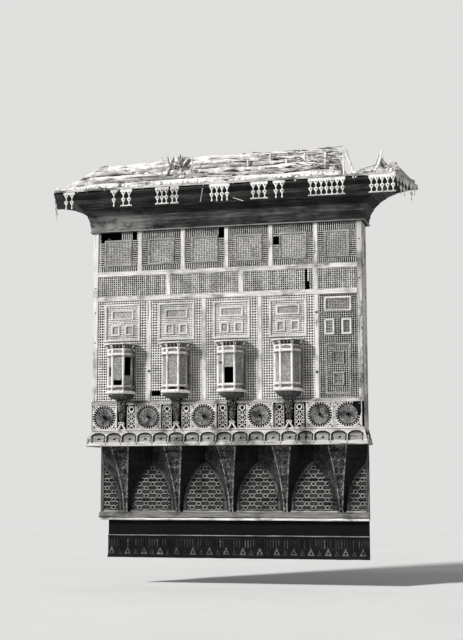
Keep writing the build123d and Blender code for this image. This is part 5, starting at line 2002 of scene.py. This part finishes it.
def reeds(heap, count, x_span, y_span, lengths, lift, tilt):
    """Loose reeds that lie mostly along the wall."""
    for _ in range(count):
        x, y = random.uniform(*x_span), random.uniform(*y_span)
        length = random.uniform(*lengths)
        turn = random.gauss(0, tilt)
        climb = random.gauss(0, tilt * 0.6)
        z = roof_surface(x, y) + random.uniform(*lift)
        start = Vector((x - length / 2, y - turn * length / 2, z - climb * length / 2))
        stop = Vector((x + length / 2, y + turn * length / 2, z + climb * length / 2))
        bow = Vector((0, 0, random.gauss(0, 0.02)))
        path = [start, start.lerp(stop, 0.5) + bow, stop]
        if all(roof_reach(p.x) > -p.y > 0.02 and p.z < TOP_LEVEL for p in path):
            radius = random.uniform(*REED_RADII)
            tube(heap, path, [radius, radius * 0.9, radius * 0.5], 4, random.choice((REED, REED, POLE_WOOD)))


def fallen_sticks(heap):
    """Sticks that slide down the right end of the pile."""
    for _ in range(FALLEN_STICKS):
        x, y = random.uniform(1.15, 1.6), -random.uniform(0.35, 0.75)
        start = Vector((x, y, roof_surface(x, y) + random.uniform(0.0, 0.05)))
        fall = Vector((random.uniform(0.25, 0.5), -random.uniform(0.05, 0.3), -random.uniform(0.02, 0.26)))
        if roof_reach(x + fall.x) > -(y + fall.y) and start.z + fall.z > DECK_TOP:
            path = [start, start + fall * 0.5 + Vector((0, 0, 0.02)), start + fall]
            tube(heap, path, [0.009, 0.008, 0.005], 4, random.choice((REED, POLE_WOOD)))


def lumps(heap):
    """Broken daub on the slope and all along the eave."""
    for _ in range(ROOF_LUMPS):
        x = random.uniform(-2.7, 2.9)
        y = -random.uniform(0.1, 0.95)
        chunk(heap, (x, y, roof_surface(x, y)), LUMP_SIZES, (DAUB, DAUB, OLD_DAUB))
    for _ in range(EAVE_LUMPS):
        x = random.uniform(-2.85, 2.95)
        place = (x, 0.035 - roof_reach(x), DECK_TOP + random.uniform(-0.05, 0.06))
        chunk(heap, place, LUMP_SIZES, (DAUB, DAUB, DAUB, OLD_DAUB))


def slits(heap):
    """Cracks along the slope, painted black as the shade in them."""
    for _ in range(SLITS):
        x, y = random.uniform(-0.3, 1.85), -random.uniform(0.45, 0.98)
        level = roof_surface(x, y) + random.uniform(-0.005, 0.012)
        length = random.uniform(0.06, 0.2)
        middle = (x, y - 0.01, level + random.uniform(-0.01, 0.01))
        path = [(x - length, y, level), middle, (x + length, y, level)]
        if all(-p[1] < roof_reach(p[0]) for p in path):
            tube(heap, path, [0.004, random.uniform(0.008, 0.018), 0.004], 5, SHADE_AND_JOINT_BLACK)


def mound(heap):
    """A heap of lumps left of the middle, with stakes that stand out of it."""
    for _ in range(MOUND_LUMPS):
        x = random.gauss(MOUND, 0.15)
        y = random.gauss(-0.72, 0.12)
        lift = max(0.0, MOUND_HEIGHT - abs(x - MOUND) * 0.8) * random.random()
        level = min(TOP_LEVEL - 0.06, roof_surface(x, y) + lift)
        chunk(heap, (x, y, level), (0.03, 0.07), (DAUB, OLD_DAUB))
    for _ in range(MOUND_STAKES):
        x, y = random.gauss(MOUND, 0.13), random.gauss(-0.75, 0.1)
        base = Vector((x, y, roof_surface(x, y)))
        top = base + Vector((random.gauss(-0.04, 0.14), random.gauss(0, 0.05), random.uniform(0.08, 0.32)))
        top.z = min(top.z, TOP_LEVEL)
        middle = base.lerp(top, 0.5) + Vector((random.gauss(0, 0.02), 0, 0))
        finish = random.choice((REED, POLE_WOOD, POLE_WOOD))
        tube(heap, [base, middle, top], [0.017, 0.014, 0.009], 4, finish)


def wisps(heap):
    """A tuft of thin stalks that droops at the right end of the roof."""
    for _ in range(WISPS):
        root = Vector((random.gauss(2.72, 0.03), -0.93, DECK_TOP + random.uniform(0.08, 0.16)))
        tip = Vector((random.gauss(2.82, 0.16), random.gauss(-0.85, 0.06), DECK_TOP))
        tip.z += random.uniform(0.0, 0.14)
        crown = root + Vector((0.02, 0, random.uniform(0.03, 0.2)))
        if roof_reach(tip.x) > -tip.y + 0.02:
            middle = root.lerp(tip, 0.4) + Vector((0, 0, 0.06))
            tube(heap, [crown, middle, tip], [0.004, 0.006, 0.004], 3, random.choice((REED, POLE_WOOD)))


def roof_litter():
    heap = Heap()
    for row in REEDS:
        reeds(heap, *row)
    for scatter in (fallen_sticks, lumps, slits, mound, wisps):
        scatter(heap)
    heap.points = [(x, max(y, -EAVE_LIMIT), min(z, TOP_LEVEL)) for x, y, z in heap.points]
    heap.piece("roof_litter", [REED, POLE_WOOD, DAUB, OLD_DAUB, SHADE_AND_JOINT_BLACK], "roof_daub")


# Radii of the three stakes at foot and head, the bend of the last one, and the studs
POLE_RADII = ((0.017, 0.013), (0.024, 0.018), (0.030, 0.017))
BENT_POLE = ((2.627, 4.148), (2.66, 4.20), (2.702, 4.272), (2.735, 4.38), (2.758, 4.504))
STUDS = [
    (0.45, -0.72, 0.13), (0.82, -0.62, 0.16), (1.12, -0.75, 0.12), (1.42, -0.68, 0.15), (1.80, -0.86, 0.25),
]
STUD_RADIUS = 0.019


def pole_ends(low, high):
    """The middle of the foot and of the head of one pole in the frame."""
    places = [v.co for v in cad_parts["roof_poles"].data.vertices]
    own = [p for p in places if low[0] - 1e-3 < p.x < high[0] + 1e-3]
    feet = [p for p in own if p.z < low[2] + 0.01]
    heads = [p for p in own if p.z > high[2] - 0.01]
    return sum(feet, Vector()) / len(feet), sum(heads, Vector()) / len(heads)


def roof_poles():
    """Bare stakes, a little crooked, and the short studs that once held a higher layer."""
    heap = Heap()
    for box, (wide, narrow) in zip(loose_boxes("roof_poles"), POLE_RADII):
        foot, head = pole_ends(*box)
        path = []
        for k in range(7):
            sway = 0.018 * math.sin(k / 6 * math.pi) * wave(foot.x * 9, k / 6 * 3)
            path.append(foot.lerp(head, k / 6) + Vector((sway, 0, 0)))
        if foot.x > BENT_POLE[0][0] - 0.1:
            path = [(x, foot.y, level) for x, level in BENT_POLE]
        tube(heap, path, np.linspace(wide, narrow, len(path)), 7)
    for x, y, height in STUDS:
        base = roof_surface(x, y)
        path = [(x, y, base - 0.03), (x + 0.01, y, min(TOP_LEVEL, base + height))]
        tube(heap, path, [STUD_RADIUS, STUD_RADIUS], 6)
    heap.piece("crooked_poles", [POLE_WOOD], "pole_wood", ["roof_poles"])


roof()
roof_deck()
roof_poles()
roof_litter()


# Hanging fringe

DROP_PITCH = 0.086
RETURN_PITCH = 0.15
DROP_TOP = -0.045
DROP_ROW = 0.118
DROP_WIDTH = 0.86
DROP_FLATNESS = 0.36
DROP_SIDES = 8
LOST_DROPS = 0.15
EYE_DROP = 0.017
EYE_RADIUS = 0.011
FRINGE_HEAD = (-0.006, 0.008)
FRINGE_FOOT = (-0.006, 0.006)
FOOT_HEIGHT = 0.012

# Distance below the head of a drop and its radius: the full drop, and the tip of a free one
DROP_PROFILE = [
    (0.0, 0.043), (0.018, 0.041), (0.034, 0.030), (0.052, 0.017), (0.070, 0.010),
    (0.096, 0.0080), (0.106, 0.018), (0.118, 0.043),
]
DROP_END = [(0.110, 0.017), (0.120, 0.015), (0.136, 0.004)]

# Lengths of fringe that are left, as shares of an eave, and whether a rail closes them below
FRONT_LENGTHS = [
    (0.03, 0.065, False), (0.175, 0.195, False), (0.205, 0.24, True), (0.31, 0.35, True), (0.355, 0.38, True),
    (0.47, 0.53, False), (0.59, 0.64, True), (0.655, 0.69, False), (0.755, 0.86, True), (0.925, 1.0, True),
]
LEFT_LENGTHS = [(0.12, 0.42, False), (0.56, 0.8, False)]
RIGHT_LENGTHS = [(0.02, 0.58, False), (0.62, 0.92, False)]

# Two loose sticks caught in the fringe, with their radii
CAUGHT_STICKS = [
    ((-0.28, -1.09, 3.79), (-0.24, -1.092, 4.02), 0.006),
    ((0.28, -1.09, 3.83), (0.46, -1.092, 3.76), 0.005),
]


def drop(heap, board, place, widen, profile):
    """One turned drop, flattened, with an eye in its crown painted black as shade."""
    at, level = place
    points, faces = lathe([(level - fall, radius) for fall, radius in profile], DROP_SIDES)
    heap.on(board, ([(u * widen + at, v, w * DROP_FLATNESS) for u, v, w in points], faces))
    heap.on(board, boss(at, level - EYE_DROP, EYE_RADIUS, 6, 0.008, 0.0165, 0.001), SHADE_AND_JOINT_BLACK)


def fringe_run(heap, start, stop, lengths, pitch=DROP_PITCH):
    """Two rows of drops under one eave, each as wide at its head as the pitch."""
    run = Vector((*stop, 0)) - Vector((*start, 0))
    along = run.normalized()
    board = Board((*start, EAVE_TOP), along, (0, 0, 1), (along.y, -along.x, 0))
    widen = DROP_WIDTH * pitch / DROP_PITCH
    foot = DROP_TOP - 2 * DROP_ROW
    for low, high, railed in lengths:
        u0, u1 = low * run.length, high * run.length
        count, step = fitted(u0, u1, pitch)
        slab(heap, board, (u0, u1), (DROP_TOP - 0.002, -0.002), FRINGE_HEAD)
        if railed:
            slab(heap, board, (u0, u1), (foot - FOOT_HEIGHT, foot + 0.002), FRINGE_FOOT)
        for k in range(count):
            rows = 1 if not railed and random.random() < LOST_DROPS else 2
            for row in range(rows):
                free = row == rows - 1 and not railed
                profile = DROP_PROFILE[:-2] + DROP_END if free else DROP_PROFILE
                drop(heap, board, (u0 + (k + 0.5) * step, DROP_TOP - row * DROP_ROW), widen, profile)


def fringe():
    heap = Heap()
    wall_left, left, right, wall_right = splayed(COVE_LIP)
    fringe_run(heap, left, right, FRONT_LENGTHS)
    fringe_run(heap, wall_left, left, LEFT_LENGTHS, RETURN_PITCH)
    fringe_run(heap, right, wall_right, RIGHT_LENGTHS, RETURN_PITCH)
    for start, stop, radius in CAUGHT_STICKS:
        tube(heap, [start, stop], [radius, radius], 5)
    heap.piece("turned_fringe", [FRINGE_WOOD, SHADE_AND_JOINT_BLACK], "fringe_wood", ["eave_fringe"])


fringe()


# Stage, camera and light

FLOOR_LEVEL = -2.62
FLOOR_REACH = 60
FLOOR_BACK = 30
FLOOR_TONE = 0.985
CARD_SIDE = HALF - 0.1
CARD_BACK = 0.004
CARD_FRONT = 0.06 - LATTICE_BACK
CARD_LEVELS = (0.12, UPPER_LEVELS[1] + 0.1)
SUN_FROM = (-0.62, -0.72, 0.52)
SUN_STRENGTH = 3.8
SUN_ANGLE = 7
SKY_LIGHT = 0.19
SKY_TONE = 0.88


def flat(name, points, material):
    mesh = bpy.data.meshes.new(name)
    mesh.from_pydata(points, [], [(0, 1, 2, 3)])
    mesh.materials.append(material)
    piece = bpy.data.objects.new(name, mesh)
    bpy.context.scene.collection.objects.link(piece)


def card(name, start, stop, material):
    """An upright card over the line between two places in plan."""
    low, high = CARD_LEVELS
    flat(name, [(*start, low), (*stop, low), (*stop, high), (*start, high)], material)


def paper(name, level):
    """Pale studio paper with a faint unevenness."""
    nodes = Nodes(name, 0.95)
    nodes.colour(nodes.ramp(nodes.noise(EVEN, 0.7, 3), (0.3, level - 0.01), (0.7, level + 0.01)))
    return nodes.material


def shade():
    """The unlit room behind the wall opening: dark from the front, clear from behind."""
    nodes = Nodes("unlit_room", 1.0)
    nodes.colour(nodes.ramp(nodes.noise(EVEN, 1.3, 3), (0.3, 0.03), (0.7, 0.06)))
    nodes.shader.inputs["Specular IOR Level"].default_value = 0.0
    clear = nodes.new("ShaderNodeBsdfTransparent")
    mix = nodes.new("ShaderNodeMixShader")
    nodes.link(nodes.new("ShaderNodeNewGeometry").outputs["Backfacing"], mix.inputs["Fac"])
    nodes.link(nodes.shader.outputs["BSDF"], mix.inputs[1])
    nodes.link(clear.outputs["BSDF"], mix.inputs[2])
    nodes.link(mix.outputs["Shader"], nodes.tree.nodes["Material Output"].inputs["Surface"])
    return nodes.material


def stage():
    left, right = -FLOOR_REACH, FLOOR_REACH
    corners = ((left, left), (right, left), (right, FLOOR_BACK), (left, FLOOR_BACK))
    flat("studio_floor", [(*corner, FLOOR_LEVEL) for corner in corners], paper("floor_paper", FLOOR_TONE))
    dark = shade()
    card("room_shade", (-CARD_SIDE, CARD_BACK), (CARD_SIDE, CARD_BACK), dark)
    card("side_shade", (-CARD_SIDE, CARD_FRONT), (-CARD_SIDE, CARD_BACK), dark)


def camera():
    turn, rise, roll = (math.radians(v) for v in (CAMERA_TURN, CAMERA_RISE, CAMERA_ROLL))
    ahead = Vector((-math.sin(turn) * math.cos(rise), math.cos(turn) * math.cos(rise), math.sin(rise)))
    level = Vector((math.cos(turn), math.sin(turn), 0))
    upright = level.cross(ahead)
    right = math.cos(roll) * level + math.sin(roll) * upright
    up = -math.sin(roll) * level + math.cos(roll) * upright
    lens = bpy.data.cameras.new("photo_camera")
    lens.sensor_width = SENSOR
    lens.lens = FOCAL_PIXELS * SENSOR / IMAGE_HEIGHT
    lens.clip_end = VIEW_END
    viewer = bpy.data.objects.new("photo_camera", lens)
    turned = Matrix((right, up, -ahead)).transposed().to_4x4()
    viewer.matrix_world = Matrix.Translation(CAMERA_PLACE) @ turned
    bpy.context.scene.collection.objects.link(viewer)
    bpy.context.scene.camera = viewer


def sun():
    lamp = bpy.data.lights.new("key_light", "SUN")
    lamp.energy = SUN_STRENGTH
    lamp.angle = math.radians(SUN_ANGLE)
    lantern = bpy.data.objects.new("key_light", lamp)
    lantern.rotation_euler = Vector(SUN_FROM).to_track_quat("Z", "Y").to_euler()
    bpy.context.scene.collection.objects.link(lantern)


def surroundings():
    """Soft light all round; what the camera and mirrored rays see of it is pale."""
    world = bpy.data.worlds.new("studio")
    bpy.context.scene.world = world
    world.use_nodes = True
    tree = world.node_tree
    background = tree.nodes["Background"]
    background.inputs["Color"].default_value = (1, 1, 1, 1)
    background.inputs["Strength"].default_value = SKY_LIGHT
    plain = tree.nodes.new("ShaderNodeBackground")
    plain.inputs["Color"].default_value = grey(SKY_TONE)
    rays = tree.nodes.new("ShaderNodeLightPath").outputs
    seen = rays["Is Camera Ray"]
    for kind in ("Is Glossy Ray", "Is Transmission Ray"):
        either = tree.nodes.new("ShaderNodeMath")
        either.operation = "MAXIMUM"
        tree.links.new(seen, either.inputs[0])
        tree.links.new(rays[kind], either.inputs[1])
        seen = either.outputs["Value"]
    mix = tree.nodes.new("ShaderNodeMixShader")
    tree.links.new(seen, mix.inputs["Fac"])
    tree.links.new(background.outputs["Background"], mix.inputs[1])
    tree.links.new(plain.outputs["Background"], mix.inputs[2])
    tree.links.new(mix.outputs["Shader"], tree.nodes["World Output"].inputs["Surface"])


stage()
camera()
sun()
surroundings()
bpy.context.scene.view_settings.view_transform = "Standard"
